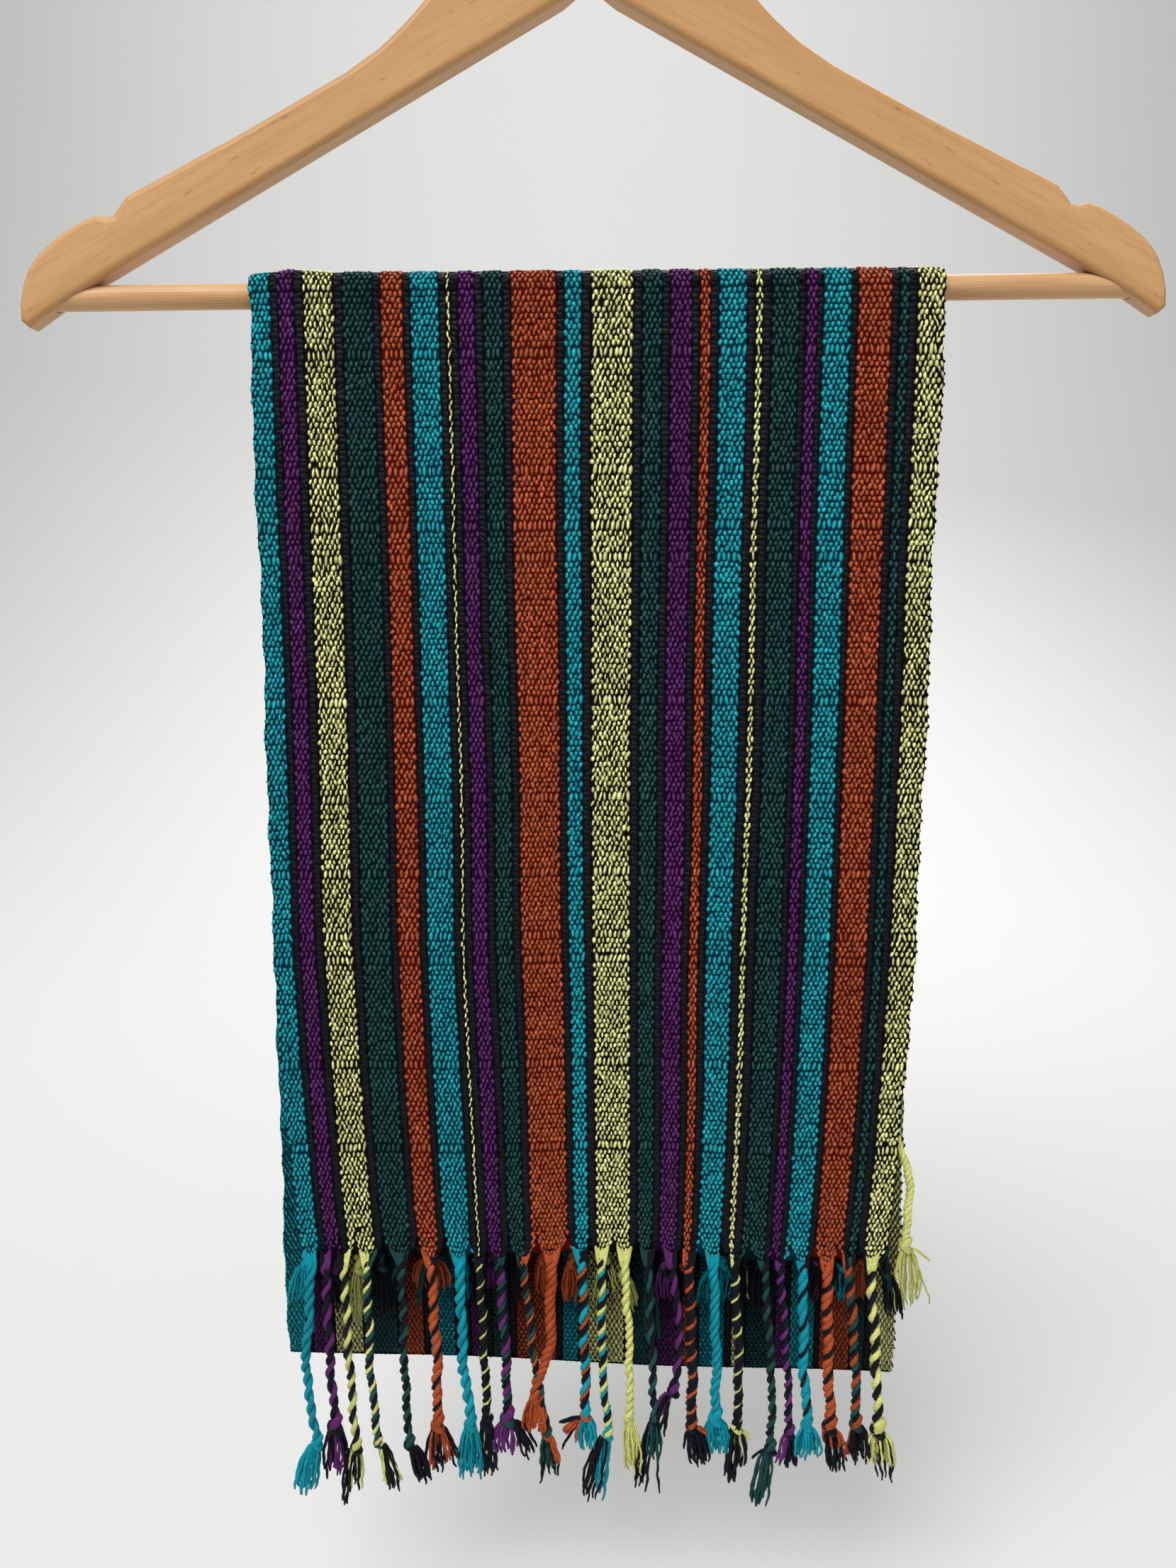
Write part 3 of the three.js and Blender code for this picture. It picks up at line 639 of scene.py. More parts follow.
# How uneven the weave is: the tone of the ends; the distance of the picks; how far a float or a pad
# lies out of its place, across and along; its tone; its slant and how that differs; and its length,
# width and height.
END_TONE = 0.05
PICK_UNEVEN = (0.93, 1.07)
JITTER = {"float": (0.11, 0.19), "pad": (0.18, 0.18)}
TONE_UNEVEN = {"float": 0.15, "pad": 0.06}
TONE_LIMITS = (0.55, 1.45)
SLANT = {"float": (0.09, 0.13), "pad": (0.0, 0.16)}
SIZE_UNEVEN = (0.10, 0.11, 0.14)
SIZE_LIMITS = (0.6, 1.4)
# Two picks in one shed leave rows of long floats here and there: heights on the front, and the share
# of a pick by which such a float is longer.
LONG_ROWS_FRONT = (-246, -290, -312, -324, -383, -421, -453, -481, -491, -538, -577)
LONG_GAIN = 0.9
# Where the weave is flatter than full, the floats get shorter too, down to this share.
SHORT_FLOAT = 0.4


def pick_rows(stretch, long_heights=()):
    """(t, parity, length in picks) for each row of floats along a stretch."""
    length, form = STRETCHES[stretch]
    rows, at, parity = [], 0.0, 0
    while at < length - PICK / 2:
        pitch = PICK * rng.uniform(*PICK_UNEVEN)
        z = float(form(np.array([0.5]), np.array([at / length]))[0, 2])
        picks = 2 if any(abs(z - row) < PICK / 2 for row in long_heights) else 1
        rows.append(((at + pitch * picks / 2) / length, parity, picks))
        at += pitch * picks
        parity = 1 - parity
    return rows


def shown_ends(rows, loose, length):
    """A row (end, t, picks) for each float, and one for each pad. A pad is never two picks long."""
    black = END_COLOURS == "black"
    tables = {"float": [], "pad": []}
    for t, parity, picks in rows:
        shown = ~black & ((END_NUMBERS + parity) % 2 == 0)
        shown &= ~(loose & (rng.random(len(ENDS)) < LOOSE_DROPS))
        for kind, chosen in (("float", np.nonzero(shown)[0]), ("pad", np.nonzero(black)[0])):
            tables[kind].append(np.stack([
                chosen, np.full(len(chosen), t), np.full(len(chosen), float(picks))], -1))
    floats, pads = (np.concatenate(tables[kind]) for kind in ("float", "pad"))
    long_pads = pads[pads[:, 2] == 2]
    halves = [long_pads + (0, side * PICK / 2 / length, -1) for side in (-1, 1)]
    return {"float": floats, "pad": np.concatenate([pads[pads[:, 2] == 1], *halves])}


def layer_shade(stretch, here):
    """The share of the light that reaches places on a stretch."""
    if "inside" in stretch:
        return SHADE_LOW + (INSIDE_SHADE - SHADE_LOW) * smoothstep(-here[:, 2:], *SHADE_ENDS)
    return FOLD_SHADE if stretch == "fold" else 1.0


def weave(batch, stretch, rows, shape, flat=1.0):
    """The outer face of a stretch: each coloured end floats over every other pick."""
    length, _ = STRETCHES[stretch]
    pad_shape = {**shape, "shade": PAD_SHADE * (1 - PAD_ROUND + PAD_ROUND * shape["shade"])}
    colours = np.array([YARN[c] for c in END_COLOURS]) * rng.normal(1.0, END_TONE, (len(ENDS), 1))
    loose = (END_COLOURS == "yellow") & (END_WIDTHS > LINE_END_WIDTH)
    for kind, table in shown_ends(rows, loose, length).items():
        chosen, t, picks = table[:, 0].astype(int), table[:, 1], table[:, 2]
        count = len(chosen)
        jitter = rng.normal(0, JITTER[kind], (count, 2))
        here, along, weft, out = surface(
            stretch, END_PLACES[chosen] + jitter[:, 0] / LOOM_WIDTH, t + jitter[:, 1] / length)
        here = here + out * SHEET_HALF * flat
        vary = np.clip(rng.normal(1.0, SIZE_UNEVEN, (count, 3)), *SIZE_LIMITS)
        tone = np.clip(rng.normal(1.0, TONE_UNEVEN[kind], (count, 1)), *TONE_LIMITS)
        tint = colours[chosen] * tone * layer_shade(stretch, here)
        if kind == "pad":
            sizes = (
                END_WIDTHS[chosen] * PAD_SPREAD * vary[:, 0], PICK * PAD_PICK * vary[:, 1],
                PAD_HEIGHT * flat * vary[:, 2])
            slant = rng.normal(*SLANT[kind], count)
            add_floats(batch, pad_shape, here, weft, -along, out, sizes, tint, slant)
            continue
        thin = np.where(loose[chosen], YELLOW_SPREAD * rng.uniform(*YELLOW_UNEVEN, count), 1.0)
        full_length = FLOAT_LENGTH + PICK * LONG_GAIN * (picks - 1)
        sizes = (
            full_length * vary[:, 0] * (SHORT_FLOAT + (1 - SHORT_FLOAT) * flat),
            END_WIDTHS[chosen] * FLOAT_SPREAD * thin * vary[:, 1],
            FLOAT_HEIGHT * vary[:, 2] * flat,
        )
        slant = rng.normal(*SLANT[kind], count)
        add_floats(batch, shape, here, along, weft, out, sizes, tint, slant)


LOOP_PICKS = 2
LOOP_SIZE = (2.4, 1.5, 0.75)
LOOP_UNEVEN = {"along": 0.35, "size": (0.7, 1.25), "tone": (0.7, 1.6), "slant": 0.3}
LOOP_OUT = 0.1
# Each selvedge: its place across, which way is outwards, and how full its loops are.
SELVEDGES = ((0.0, -1.0, 0.45), (1.0, 1.0, 0.85))


def selvedge_loops(batch, stretch, t_from, t_to, shape):
    """The black weft turns back round the outermost end every other pick, at both selvedges."""
    length, _ = STRETCHES[stretch]
    count = int(length * (t_to - t_from) / (PICK * LOOP_PICKS))
    for u, outward, full in SELVEDGES:
        t = t_from + (t_to - t_from) * (np.arange(count) + 0.5) / count
        t = t + rng.normal(0, LOOP_UNEVEN["along"], count) / length
        here, along, weft, out = surface(stretch, np.full(count, u), t)
        vary = rng.uniform(*LOOP_UNEVEN["size"], (count, 3))
        sizes = [full * size * vary[:, i] for i, size in enumerate(LOOP_SIZE)]
        colours = np.array([YARN["black"]]) * rng.uniform(*LOOP_UNEVEN["tone"], (count, 1))
        slant = rng.normal(0, LOOP_UNEVEN["slant"], count)
        add_floats(
            batch, shape, here + weft * outward * LOOP_OUT, along, out, weft * outward, sizes,
            colours, slant)


# ---------------------------------------------------------------- the ground sheet

# The distance from one row of points to the next, and two more rows that come straight after the
# front hem's own. The even row at 0.012 still follows them, so the ground laps back there, under the
# floats, for about 3 mm.
ROW_STEP = 5.0
TURN_ROW_STEP = 2.0
FOLD_ROW_STEP = 0.5
HEM_ROWS = (0.01, 0.02)


def sheet_rows():
    """{stretch: t of each row of the sheet}, closer where the cloth turns."""
    rows = {}
    for name, (length, _) in STRETCHES.items():
        step = TURN_ROW_STEP if "turn" in name else ROW_STEP
        if name == "fold":
            step = FOLD_ROW_STEP
        count = max(6, round(length / step))
        rows[name] = np.arange(count) / count
    rows["front"] = np.insert(rows["front"], 1, HEM_ROWS)
    rows["front_inside"] = np.append(rows["front_inside"], 1.0)
    return rows


def rim_quads(line, under, flip):
    """A strip that joins the sheet's two faces along one of its edges."""
    quads = np.stack([line[:-1], line[:-1] + under, line[1:] + under, line[1:]], -1)
    return quads[:, ::-1] if flip else quads


def build_sheet(material):
    """The ground of the cloth: one closed, folded sheet, with a column of points at each bound of a
    stripe. Corners carry the colours, so these stay crisp at the bounds."""
    middles, outs, runs, bares, run = [], [], [], [], 0.0
    for name, ts in sheet_rows().items():
        length, _ = STRETCHES[name]
        here, _, _, out = surface(name, *np.meshgrid(BOUNDS, ts))
        middles.append(here)
        outs.append(out * SHEET_HALF)
        runs.append(run + ts * length)
        bares.append(np.full(len(ts), 1.0 if "inside" in name else 0.0))
        run += length
    here, out, runs, bares = (np.concatenate(parts) for parts in (middles, outs, runs, bares))
    points = np.concatenate([(here + out).reshape(-1, 3), (here - out).reshape(-1, 3)])
    rows, columns = here.shape[:2]
    under = rows * columns
    index = np.arange(under).reshape(rows, columns)
    a, b, c, d = index[:-1, :-1], index[:-1, 1:], index[1:, 1:], index[1:, :-1]
    stripes = np.arange(columns - 1)
    each = np.broadcast_to(stripes, a.shape).ravel()
    quads = [
        np.stack([a, b, c, d], -1).reshape(-1, 4),
        np.stack([a, d, c, b], -1).reshape(-1, 4) + under,
        rim_quads(index[:, 0], under, True), rim_quads(index[:, -1], under, False),
        rim_quads(index[0], under, False), rim_quads(index[-1], under, True),
    ]
    faces = np.concatenate(quads)
    first, last = np.zeros(rows - 1, int), np.full(rows - 1, columns - 2)
    bands = np.repeat(np.concatenate([each, each, first, last, stripes, stripes]), 4)
    vertex = faces.ravel()
    row, column = np.divmod(vertex % under, columns)
    uv = np.stack([BOUNDS[column] * LOOM_WIDTH / END_WIDTH, runs[row] / PICK], -1)
    colours = {
        key: np.array([palette[c] for c in BAND_COLOURS])[bands]
        for key, palette in (("gap", GAP), ("bright", YARN))}
    sheet = make_object("scarf_cloth", points, faces, material, uv, colours, "CORNER")
    # Where no floats are added, the material shows the weave by itself.
    layer = sheet.data.attributes.new("bare", "FLOAT", "CORNER")
    bare = np.where(vertex >= under, 1.0, bares[row])
    layer.data.foreach_set("value", bare.astype(np.float32))
    return sheet


# ---------------------------------------------------------------- tubes for yarn and cords

def smooth_path(controls, count):
    """A curve through the control points, evenly spaced by their spacing."""
    controls = np.asarray(controls, float)
    padded = np.concatenate([
        2 * controls[:1] - controls[1:2], controls, 2 * controls[-1:] - controls[-2:-1]])
    span = np.linspace(0, len(controls) - 1, count)
    i = np.minimum(span.astype(int), len(controls) - 2)
    f = (span - i)[:, None]
    a, b, c, d = padded[i], padded[i + 1], padded[i + 2], padded[i + 3]
    return 0.5 * (
        2 * b + (c - a) * f + (2 * a - 5 * b + 4 * c - d) * f**2 + (3 * b - a - 3 * c + d) * f**3
    )


def run_along(path):
    return np.concatenate([[0], np.cumsum(np.linalg.norm(np.diff(path, axis=0), axis=1))])


def add_tube(batch, path, radius, sides, colour, reference=(0.0, 1.0, 0.0)):
    """A closed tube along a path; radius may vary along it."""
    count = len(path)
    radius = np.broadcast_to(radius, count)
    tangent = unit(np.gradient(path, axis=0))
    first = unit(np.cross(tangent, reference))
    second = np.cross(tangent, first)
    angle = TURN * np.arange(sides) / sides
    ring = (
        first[:, None] * np.cos(angle)[None, :, None] + second[:, None] * np.sin(angle)[None, :, None]
    )
    points = (path[:, None] + ring * radius[:, None, None]).reshape(-1, 3)
    points = np.concatenate([points, path[:1], path[-1:]])
    step = np.arange(count - 1)[:, None] * sides
    side = np.arange(sides)
    after = (side + 1) % sides
    a, b, c, d = step + side, step + after, step + sides + after, step + sides + side
    last = (count - 1) * sides
    faces = np.concatenate([
        np.stack([a, b, c], -1).reshape(-1, 3), np.stack([a, c, d], -1).reshape(-1, 3),
        np.stack([np.full(sides, count * sides), after, side], -1),
        np.stack([np.full(sides, count * sides + 1), last + side, last + after], -1)])
    run = run_along(path)
    uv = np.stack([
        np.broadcast_to(side / sides, (count, sides)),
        np.broadcast_to(run[:, None], (count, sides)),
    ], -1).reshape(-1, 2)
    uv = np.concatenate([uv, [[0.5, 0.0], [0.5, run[-1]]]])
    batch.add(points, faces, np.broadcast_to(colour, points.shape), uv)


def yarn_tone(colour, row):
    return np.array(CORD_YARN[colour]) * rng.uniform(0.86, 1.14) * row["shade"]


def wandering(run, size, wave):
    """A slow, uneven sway along a yarn."""
    first, second = rng.uniform(0, TURN, 2)
    return size * (np.sin(run / wave + first) + 0.6 * np.sin(run / wave * 2.3 + second))


# ---------------------------------------------------------------- twisted cords

# A ply's radius as a share of the cord's width, for two, three and four plies, and how far the plies
# reach from the cord's middle.
PLY_RADIUS = {2: 0.275, 3: 0.245, 4: 0.21}
CORD_REACH = 0.52
# Where a cord is led on its way down, as shares of its height, and how far above and below the
# knot's middle it ends.
CORD_GUIDES = (0.3, 0.62)
KNOT_ENTRY = 3.0
KNOT_END = 2.0
# Size and wave length of the sway of a cord, of its lay and of a ply's thickness. The sway fades near
# the hem and above the knot.
CORD_SWAY = (0.38, 5.2)
LAY_SWAY = (0.7, 6.5)
PLY_SWAY = (0.05, 2.2)
SWAY_FROM, SWAY_FULL, SWAY_END = 2.0, 14.0, 10.0
DEPTH_SWAY = 0.4
PLY_EASE = 4.0
# A ply thinner than this share sinks between the others now and then, so it shows only in places.
THIN_PLY = 0.85
THIN_SINK = 0.2
PLY_WANDER = 0.06
THIN_WANDER = 0.34
PLY_WAVES = 7
FINE = {"step": 1.1, "sides": 8, "knot_rings": 22, "tuft_rings": 13, "tuft_sides": 5}
PLAIN = {"step": 1.6, "sides": 6, "knot_rings": 16, "tuft_rings": 10, "tuft_sides": 4}


def ply_list(row):
    """Colour, radius and angle round the cord for each ply; thinner ones take less of the turn."""
    parts = [(text + ":1").split(":")[:2] for text in row["plies"].split()]
    shares = np.array([float(share) for _, share in parts])
    radii = row["width"] * PLY_RADIUS[len(parts)] * shares * len(parts) / shares.sum()
    gaps = (radii + np.roll(radii, 1)) / 2
    angles = TURN * np.cumsum(gaps) / gaps.sum()
    return [(parts[i][0], radii[i], angles[i]) for i in range(len(parts))]


def add_cord(batch, row, root_z, root_y, hang_y, detail):
    """A twisted cord, its knot and the loose yarn under the knot."""
    fall = row["knot_z"] - root_z
    high, low = (root_z + fall * share for share in CORD_GUIDES)
    centre = smooth_path([
        (row["root"], root_y, root_z),
        ((row["root"] + row["middle"]) / 2, hang_y, high),
        (row["middle"], hang_y + rng.uniform(-DEPTH_SWAY, DEPTH_SWAY), low),
        (row["knot"], hang_y, row["knot_z"] + KNOT_ENTRY),
        (row["knot"], hang_y, row["knot_z"] - KNOT_END),
    ], round(-fall / detail["step"]))
    run = run_along(centre)
    settle = smoothstep(run, SWAY_FROM, SWAY_FULL) * smoothstep(run[-1] - run, 0.0, SWAY_END)
    centre[:, 0] += wandering(run, *CORD_SWAY) * settle
    turns = (run + wandering(run, *LAY_SWAY)) / row["lay"]
    start = rng.uniform(0, TURN)
    ease = smoothstep(run, -PLY_EASE, PLY_EASE)
    for colour, thick, angle in ply_list(row):
        phase = start + angle - TURN * turns
        thin = max(0.0, THIN_PLY - thick / (row["width"] * PLY_RADIUS[3]))
        offset = (CORD_REACH * row["width"] - thick) * (1 - thin * THIN_SINK)
        wander = PLY_WANDER + THIN_WANDER * thin
        offset = offset * (1 + wandering(run, wander, row["lay"] / PLY_WAVES))
        path = centre + np.stack([
            offset * np.cos(phase), offset * np.sin(phase), np.zeros(len(run))], -1)
        radius = thick * ease * (1 + wandering(run, *PLY_SWAY))
        add_tube(batch, path, radius, detail["sides"], yarn_tone(colour, row))
    add_knot(batch, row, hang_y, detail)
    for tuft in row["tufts"]:
        add_tuft(batch, row, tuft, hang_y, detail)


# The knot's two loops: how far above the middle each lies and how it leans, as shares of the knot's
# width; the yarn's thickness, as a share too; and its ends, which are thinner.
KNOT_LOOPS = ((0.17, 0.30), (-0.17, -0.22))
KNOT_YARN = 0.285
KNOT_TURNS = 1.2
KNOT_DEPTH = 0.8
KNOT_TAPER = {"at": (0, 0.12, 0.88, 1), "share": (0.45, 1, 1, 0.45)}


def add_knot(batch, row, hang_y, detail):
    """An overhand knot, seen as two thick loops that cross."""
    plies = ply_list(row)
    size = row["knot_width"]
    thick = size * KNOT_YARN
    reach = size / 2 - thick
    share = np.linspace(0, 1, detail["knot_rings"])
    for k, (rise, lean) in enumerate(KNOT_LOOPS):
        angle = share * KNOT_TURNS * TURN + rng.uniform(0, TURN)
        path = np.stack([
            row["knot"] + reach * np.cos(angle),
            hang_y + reach * KNOT_DEPTH * np.sin(angle),
            row["knot_z"] + (rise + lean * np.cos(angle)) * size,
        ], -1)
        radius = thick * np.interp(share, KNOT_TAPER["at"], KNOT_TAPER["share"])
        colour = plies[k % len(plies)][0]
        add_tube(
            batch, path, radius, detail["sides"], yarn_tone(colour, row), reference=(0.0, 0.0, 1.0))


# Loose yarn: how much it curls, sideways and in depth, how full and how uneven it is, and how deep a
# tuft is. A yarn is led down through two places between its start and its end.
CURL = 0.36
CURL_SIDE = (1.0, 2.3)
CURL_DEPTH = (0.7, 2.7)
CURL_START = 0.15
YARN_FULLNESS = 1.16
YARN_SWAY = (0.08, 1.1)
YARN_TAPER = {"at": (0, 0.1, 0.85, 1), "share": (0.8, 1.0, 1.0, 0.6)}
TUFT_DEPTH = 2.0
TUFT_HALF = 0.34
TUFT_BULGE = 0.3
TUFT_DEPTHS = (0.35, 1.0, 1.1, 0.9)
TUFT_TOP = 0.2


def add_tuft(batch, row, tuft, hang_y, detail):
    """Loose yarns of one colour that leave the knot together, crimped from the twist they had."""
    count, rings = tuft["yarns"], detail["tuft_rings"]
    half = row["knot_width"] * TUFT_HALF
    start = np.clip(tuft["swing"] * 0.3, -half, half)
    share = np.linspace(0, 1, rings)
    for k in range(count):
        place = (k + 0.5) / count * 2 - 1
        place += rng.normal(0, 0.5 / count)
        depth = rng.uniform(-1, 1) * min(TUFT_DEPTH, 0.7 + tuft["spread"] * 0.4)
        length = tuft["length"] * rng.uniform(0.82, 1.07)
        begin = start + place * min(tuft["spread"], half)
        swing = tuft["swing"] + place * tuft["spread"] - begin
        bulge = place * tuft["spread"] * TUFT_BULGE
        sides = [begin, begin + swing * 0.34 + bulge, begin + swing * 0.72 + bulge, begin + swing]
        drops = [row["knot_width"] * TUFT_TOP, length * 0.32, length * 0.68, length]
        path = smooth_path([
            (row["knot"] + x, hang_y + depth * y, row["knot_z"] - z)
            for x, y, z in zip(sides, TUFT_DEPTHS, drops)
        ], rings)
        run = share * math.hypot(length, swing)
        size = CURL * (CURL_START + share)
        path[:, 0] += wandering(run, *CURL_SIDE) * size
        path[:, 1] += wandering(run, *CURL_DEPTH) * size
        thick = tuft["radius"] * YARN_FULLNESS
        radius = thick * np.interp(share, YARN_TAPER["at"], YARN_TAPER["share"])
        radius = radius * (1 + wandering(run, *YARN_SWAY)) * rng.uniform(0.88, 1.1)
        add_tube(batch, path, radius, detail["tuft_sides"], yarn_tone(tuft["colour"], row))


GATHER_YARNS = 9
GATHER_RINGS = 9
GATHER_SIDES = 6
GATHER_TAPER = {"at": (0, 0.2, 0.75, 1), "radius": (0.5, 0.78, 0.74, 0.5)}
GATHER_NEAR = 0.38
CORD_TOP = 2.5
HEM_PLACES = (-134, 0, 125)
FRONT_HANG = -9.2
INNER_HANG = -3.6


def gather_path(row, x, half, z0, layer_y, hang_y):
    """One warp end's way from the last pick into its cord."""
    apart = np.clip((x - row["root"]) / half, -1, 1)
    x_hem = x + (row["root"] - x) * HEM_PULL
    z_hem = z0 + HEM_ARCH * apart**2 - HEM_DROP
    near = apart * row["width"] * GATHER_NEAR
    return smooth_path([
        (x_hem, layer_y + 0.2, z_hem + 1.6),
        (x_hem + (row["root"] - x_hem) * 0.12, layer_y, z_hem - 0.4),
        (row["root"] + near * 1.25, hang_y - 0.3, z0 - 3.8 + rng.uniform(-0.5, 0.5)),
        (row["root"] + near * 0.6, hang_y + 0.2, z0 - 7.5),
    ], GATHER_RINGS)


def add_gathers(batch, rows, edges, hem, layer_y, hang_y):
    """Below the last pick the warp ends of each cord's stretch of hem draw together into it."""
    roots = np.array([row["root"] for row in rows])
    bounds = (roots[1:] + roots[:-1]) / 2
    radius = np.interp(
        np.linspace(0, 1, GATHER_RINGS), GATHER_TAPER["at"], GATHER_TAPER["radius"])
    for i, row in enumerate(rows):
        z0 = np.interp(row["root"], HEM_PLACES, hem)
        left, right = side_edge(edges, "left", z0), side_edge(edges, "right", z0)
        low = left if i == 0 else bounds[i - 1]
        high = right if i == len(rows) - 1 else bounds[i]
        for k in range(GATHER_YARNS):
            x = low + (high - low) * (k + 0.5) / GATHER_YARNS
            half = row["root"] - low if x < row["root"] else high - row["root"]
            path = gather_path(row, x, half, z0, layer_y, hang_y)
            colour = colour_at((x - left) / (right - left))
            if colour not in row["plies"]:
                colour = "black" if "black" in row["plies"] else row["plies"].split()[0]
            add_tube(batch, path, radius, GATHER_SIDES, yarn_tone(colour, row))


def build_fringe(name, rows, edges, hem, layer_y, hang_y, detail, material):
    batch = Batch()
    add_gathers(batch, rows, edges, hem, layer_y, hang_y)
    for row in rows:
        root_z = float(np.interp(row["root"], HEM_PLACES, hem)) - CORD_TOP
        add_cord(batch, row, root_z, (layer_y + hang_y) / 2, hang_y, detail)
    return batch.build(name, material)


# ---------------------------------------------------------------- materials

class Shading:
    """A material with a Principled shader, and short ways to add and join its nodes. A value is a
    plain number or colour, or the output of another node."""

    def __init__(self, name, **values):
        self.material = bpy.data.materials.new(name)
        self.material.use_nodes = True
        self.nodes = self.material.node_tree.nodes
        self.links = self.material.node_tree.links
        self.shader = self.nodes["Principled BSDF"]
        for key, value in values.items():
            title = key.replace("_", " ").title().replace("Ior", "IOR")
            self.feed(self.shader.inputs[title], value)

    def feed(self, socket, value):
        if isinstance(value, (int, float, tuple)):
            socket.default_value = value
        else:
            self.links.new(value, socket)

    def node(self, kind, inputs=None, **settings):
        made = self.nodes.new("ShaderNode" + kind)
        for key, value in settings.items():
            setattr(made, key, value)
        for key, value in (inputs or {}).items():
            self.feed(made.inputs[key], value)
        return made

    def math(self, operation, *values):
        return self.node("Math", dict(enumerate(values)), operation=operation).outputs[0]

    def span(self, value, low, high, start=0.0, end=1.0):
        """A value from low to high as one from start to end."""
        return self.node("MapRange", {0: value, 1: low, 2: high, 3: start, 4: end}).outputs[0]

    def mix(self, share, first, second):
        inputs = {0: share, 6: first, 7: second}
        return self.node("Mix", inputs, data_type="RGBA", blend_type="MIX").outputs[2]

    def scaled(self, colour, share):
        inputs = {0: colour, "Scale": share}
        return self.node("VectorMath", inputs, operation="SCALE").outputs[0]

    def split(self, vector):
        return self.node("SeparateXYZ", {0: vector}).outputs

    def colour_layer(self, name):
        return self.node("VertexColor", layer_name=name).outputs[0]

    def place(self):
        return self.node("TexCoord").outputs["Object"]

    def noise(self, scale, detail, stretch=(1.0, 1.0, 1.0), place=None):
        inputs = {"Scale": stretch, "Vector": place or self.place()}
        moved = self.node("Mapping", inputs).outputs[0]
        inputs = {"Vector": moved, "Scale": scale, "Detail": detail}
        return self.node("TexNoise", inputs).outputs[0]

    def bump(self, height, strength, distance):
        inputs = {"Height": height, "Strength": strength, "Distance": distance}
        self.feed(self.shader.inputs["Normal"], self.node("Bump", inputs).outputs[0])


def yarn_material(name, strands, lean, strength):
    """Bamboo yarn: the yarn's colour with painted shade and painted highlights multiplied into it,
    fibres that catch the light, and a soft lustre.
    """
    made = Shading(name, roughness=0.5, specular_ior_level=0.10)
    fibre = made.noise(2600.0, 3.0, (1.0, 1.0, 0.35))
    dust = made.noise(55.0, 2.0)
    tone = made.math(
        "MULTIPLY", made.span(fibre, 0.3, 0.7, 0.72, 1.22), made.span(dust, 0.3, 0.7, 0.9, 1.1))
    colour = made.scaled(made.colour_layer("yarn"), tone)
    made.feed(made.shader.inputs["Base Color"], colour)
    u, v, _ = made.split(made.node("UVMap", uv_map="yarn_uv").outputs[0])
    turns = made.math("ADD", made.math("MULTIPLY", u, strands), made.math("MULTIPLY", v, lean))
    wave = made.math("SINE", made.math("MULTIPLY", turns, TURN))
    height = made.math("ADD", made.math("MULTIPLY", wave, 0.35), fibre)
    made.bump(height, strength, 0.00025)
    return made.material


def lattice(made, x, y, shift):
    """How near a point is to a float, 1 at its middle: floats lie two ends and two picks apart."""
    parts = []
    for value, half in ((x, 0.70), (y, 0.62)):
        moved = made.math("ADD", made.math("MULTIPLY", value, 0.5), shift)
        near = made.math("SUBTRACT", made.math("FRACT", moved), 0.5)
        scaled = made.math("MULTIPLY", near, 2 / half)
        parts.append(made.math("MULTIPLY", scaled, scaled))
    return made.math("SUBTRACT", 1.0, made.math("ADD", *parts))


def cloth_material():
    """The ground of the cloth: dark between raised floats, and a woven lattice where it is bare."""
    made = Shading("woven_ground", roughness=0.85, specular_ior_level=0.04)
    bare = made.node("Attribute", attribute_name="bare").outputs["Fac"]
    x, y, _ = made.split(made.node("UVMap", uv_map="yarn_uv").outputs[0])
    near = made.math("MAXIMUM", lattice(made, x, y, 0.0), lattice(made, x, y, 0.5))
    shown = made.math("MULTIPLY", made.math("MAXIMUM", near, 0.0), bare)
    fibre = made.noise(1800.0, 3.0)
    tone = made.span(fibre, 0.3, 0.7, 0.75, 1.2)
    colour = made.mix(
        made.span(shown, 0.02, 0.35), made.colour_layer("gap"), made.colour_layer("bright"))
    made.feed(made.shader.inputs["Base Color"], made.scaled(colour, tone))
    height = made.math("ADD", shown, made.math("MULTIPLY", fibre, 0.2))
    made.bump(height, 0.9, 0.0006)
    return made.material


def grain_place(made, rise):
    """Object coordinates turned so that x runs along the grain, on both sides of the middle."""
    x, y, z = made.split(made.place())
    x = made.math("ABSOLUTE", x)
    run, up = math.cos(rise), math.sin(rise)
    along = made.math("SUBTRACT", made.math("MULTIPLY", x, run), made.math("MULTIPLY", z, up))
    across_grain = made.math("ADD", made.math("MULTIPLY", x, up), made.math("MULTIPLY", z, run))
    return made.node("CombineXYZ", {0: along, 1: y, 2: across_grain}).outputs[0]


def wood_material(name, base, dark, rise):
    """Clear lacquered beech: broad soft bands, fine grain and a few short dark flecks."""
    made = Shading(
        name, roughness=0.5, specular_ior_level=0.3, coat_weight=0.12, coat_roughness=0.28)
    place = grain_place(made, rise)
    bands = made.noise(75.0, 3.0, (0.10, 1.0, 1.0), place)
    grain = made.noise(620.0, 3.0, (0.06, 1.0, 1.0), place)
    fleck = made.noise(900.0, 1.0, (0.16, 1.0, 1.0), place)
    patches = made.noise(16.0, 2.0, (0.6, 1.0, 1.0), place)
    colour = (*base, 1)
    for source, low, high, share, deep in (
        (bands, 0.38, 0.66, 0.75, [c * f for c, f in zip(base, (0.80, 0.72, 0.62))]),
        (grain, 0.44, 0.70, 0.38, [c * f for c, f in zip(base, (0.72, 0.62, 0.50))]),
        (patches, 0.48, 0.72, 0.40, [c * f for c, f in zip(base, (0.86, 0.74, 0.60))]),
        (fleck, 0.70, 0.78, 0.40, dark),
    ):
        colour = made.mix(made.span(source, low, high, 0.0, share), colour, (*deep, 1))
    made.feed(made.shader.inputs["Base Color"], colour)
    made.bump(grain, 0.05, 0.0002)
    return made.material


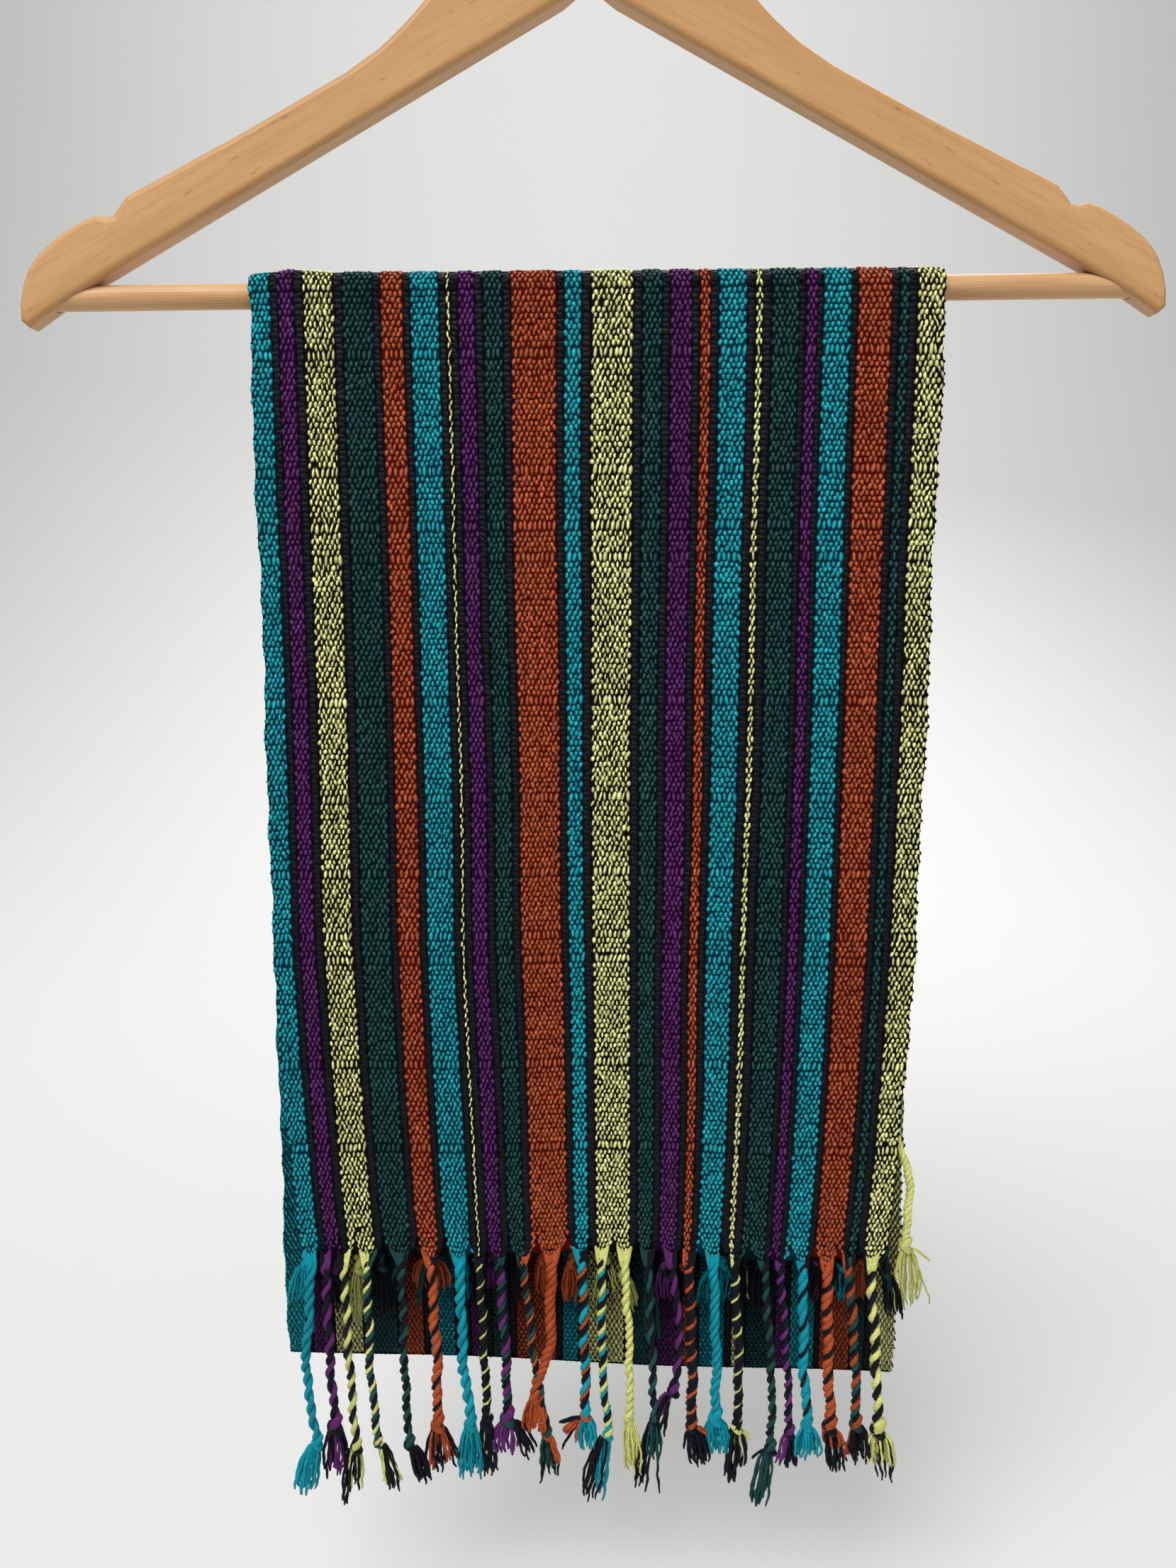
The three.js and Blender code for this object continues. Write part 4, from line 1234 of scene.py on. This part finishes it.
def metal_material():
    """Bright plated wire with fine scratches along it."""
    made = Shading(
        "bright_wire", metallic=1.0, roughness=0.22, base_color=(0.72, 0.73, 0.75, 1))
    scratches = made.noise(400.0, 3.0, (1.0, 1.0, 0.2))
    made.feed(made.shader.inputs["Roughness"], made.span(scratches, 0.3, 0.7, 0.16, 0.32))
    return made.material


# ---------------------------------------------------------------- stage

# The floor in metres: its height and half width, where it begins and bends, the radius and steps of
# the bend, and its top.
FLOOR_Z = -0.84
FLOOR_HALF = 5.0
FLOOR_NEAR = -4.0
FLOOR_BEND = 1.1
BEND_RADIUS = 2.2
BEND_STEPS = 12
FLOOR_TOP = 3.6
# Each light's name, place, aim, size and power.
LIGHTS = (
    ("key_light", (-0.6, -1.2, 1.5), (0, 0, -0.42), 1.3, 57.0),
    ("fill_light", (1.6, -2.0, 0.3), (0, 0, -0.45), 2.0, 11.0),
    ("back_light", (0.4, 1.5, 1.2), (0, 0, -0.4), 1.6, 30.0),
    ("wall_light", (0.0, 1.2, 1.7), (0, 3.3, 0.5), 2.6, 50.0),
)
ROOM_COLOUR = (0.86, 0.88, 0.9, 1)
ROOM_LIGHT = 0.28


def add_floor():
    """A pale floor that curves up far behind."""
    profile = [(FLOOR_NEAR, FLOOR_Z), (FLOOR_BEND, FLOOR_Z)]
    for i in range(1, BEND_STEPS + 1):
        angle = math.pi / 2 * i / BEND_STEPS
        profile.append((
            FLOOR_BEND + BEND_RADIUS * math.sin(angle),
            FLOOR_Z + BEND_RADIUS * (1 - math.cos(angle)),
        ))
    profile.append((FLOOR_BEND + BEND_RADIUS, FLOOR_TOP))
    points = [(side * FLOOR_HALF, y, z) for y, z in profile for side in (-1, 1)]
    faces = [(2 * i, 2 * i + 1, 2 * i + 3, 2 * i + 2) for i in range(len(profile) - 1)]
    mesh = bpy.data.meshes.new("floor")
    mesh.from_pydata(points, [], faces)
    mesh.shade_smooth()
    finish = Shading("pale_floor", roughness=0.9, base_color=(0.61, 0.607, 0.595, 1))
    mesh.materials.append(finish.material)
    floor = bpy.data.objects.new("floor", mesh)
    bpy.context.collection.objects.link(floor)


def add_lights():
    """Soft lights for the cloth and for the wall, and an even light from the room."""
    for name, place, aim, size, power in LIGHTS:
        data = bpy.data.lights.new(name, "AREA")
        data.shape = "SQUARE"
        data.size = size
        data.energy = power
        away = unit(np.subtract(place, aim))
        side = unit(np.cross((0, 0, 1), away))
        put(bpy.data.objects.new(name, data), side, np.cross(away, side), away, place)
    world = bpy.data.worlds.new("soft_room")
    world.use_nodes = True
    room = world.node_tree.nodes["Background"]
    room.inputs[0].default_value = ROOM_COLOUR
    room.inputs[1].default_value = ROOM_LIGHT
    bpy.context.scene.world = world
    bpy.context.scene.view_settings.view_transform = "Standard"


# ---------------------------------------------------------------- build

add_camera()
add_floor()
add_lights()

yarn = yarn_material("warp_yarn", strands=2.0, lean=1.0, strength=0.35)
cord_yarn = yarn_material("cord_yarn", strands=4.0, lean=-0.8, strength=0.8)
ground = cloth_material()

sheet = build_sheet(ground)

rows_of = {
    stretch: pick_rows(stretch, LONG_ROWS_FRONT if stretch == "front" else ())
    for stretch in ("front", "turn", "back", "fold", "back_inside")
}
for name, stretch, t_from, t_to, shape, flat in (
    ("weave_front_lower", "front", 0.0, 0.5, FINE_FLOAT, 1.0),
    ("weave_front_upper", "front", 0.5, 1.0, FINE_FLOAT, 1.0),
    ("weave_turn", "turn", 0.0, 1.0, FINE_FLOAT, 1.0),
    ("weave_back_upper", "back", 0.0, 0.5, PLAIN_FLOAT, 1.0),
    ("weave_back_lower", "back", 0.5, 1.0, PLAIN_FLOAT, 1.0),
    ("weave_fold", "fold", 0.0, 1.0, PLAIN_FLOAT, 0.6),
    ("weave_inside", "back_inside", 0.0, 0.24, PLAIN_FLOAT, 1.0),
):
    batch = Batch()
    rows = [row for row in rows_of[stretch] if t_from <= row[0] < t_to]
    weave(batch, stretch, rows, shape, flat)
    if stretch != "fold":
        selvedge_loops(batch, stretch, t_from, t_to, shape)
    piece = batch.build(name, yarn)

fringe_front = build_fringe(
    "fringe_cords_front", FRONT_ROWS, OUTER_FRONT_EDGES, OUTER_HEM,
    -OUTER_RADIUS - 0.4, FRONT_HANG, FINE, cord_yarn)
fringe_inner = build_fringe(
    "fringe_cords_inside", INNER_ROWS, INNER_FRONT_EDGES, INNER_HEM,
    -INNER_RADIUS, INNER_HANG, PLAIN, cord_yarn)

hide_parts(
    "scarf_front", "scarf_turn", "scarf_back", "scarf_fold", "scarf_back_inside",
    "scarf_turn_inside", "scarf_front_inside")
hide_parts("fringe_front")
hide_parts("fringe_inside")

ARM_SLOPE = math.radians(28.0)
beech = wood_material("lacquered_beech", (0.560, 0.310, 0.130), (0.17, 0.075, 0.03), ARM_SLOPE)
pale = wood_material("pale_dowel", (0.600, 0.350, 0.165), (0.22, 0.11, 0.05), 0.0)
for name, finish in (
    ("hanger_yoke", beech), ("hanger_bar", pale), ("hanger_hook", metal_material()),
):
    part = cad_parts[name]
    part.data.materials.clear()
    part.data.materials.append(finish)
    part.data.shade_smooth()
    part.data.set_sharp_from_angle(angle=math.radians(32))
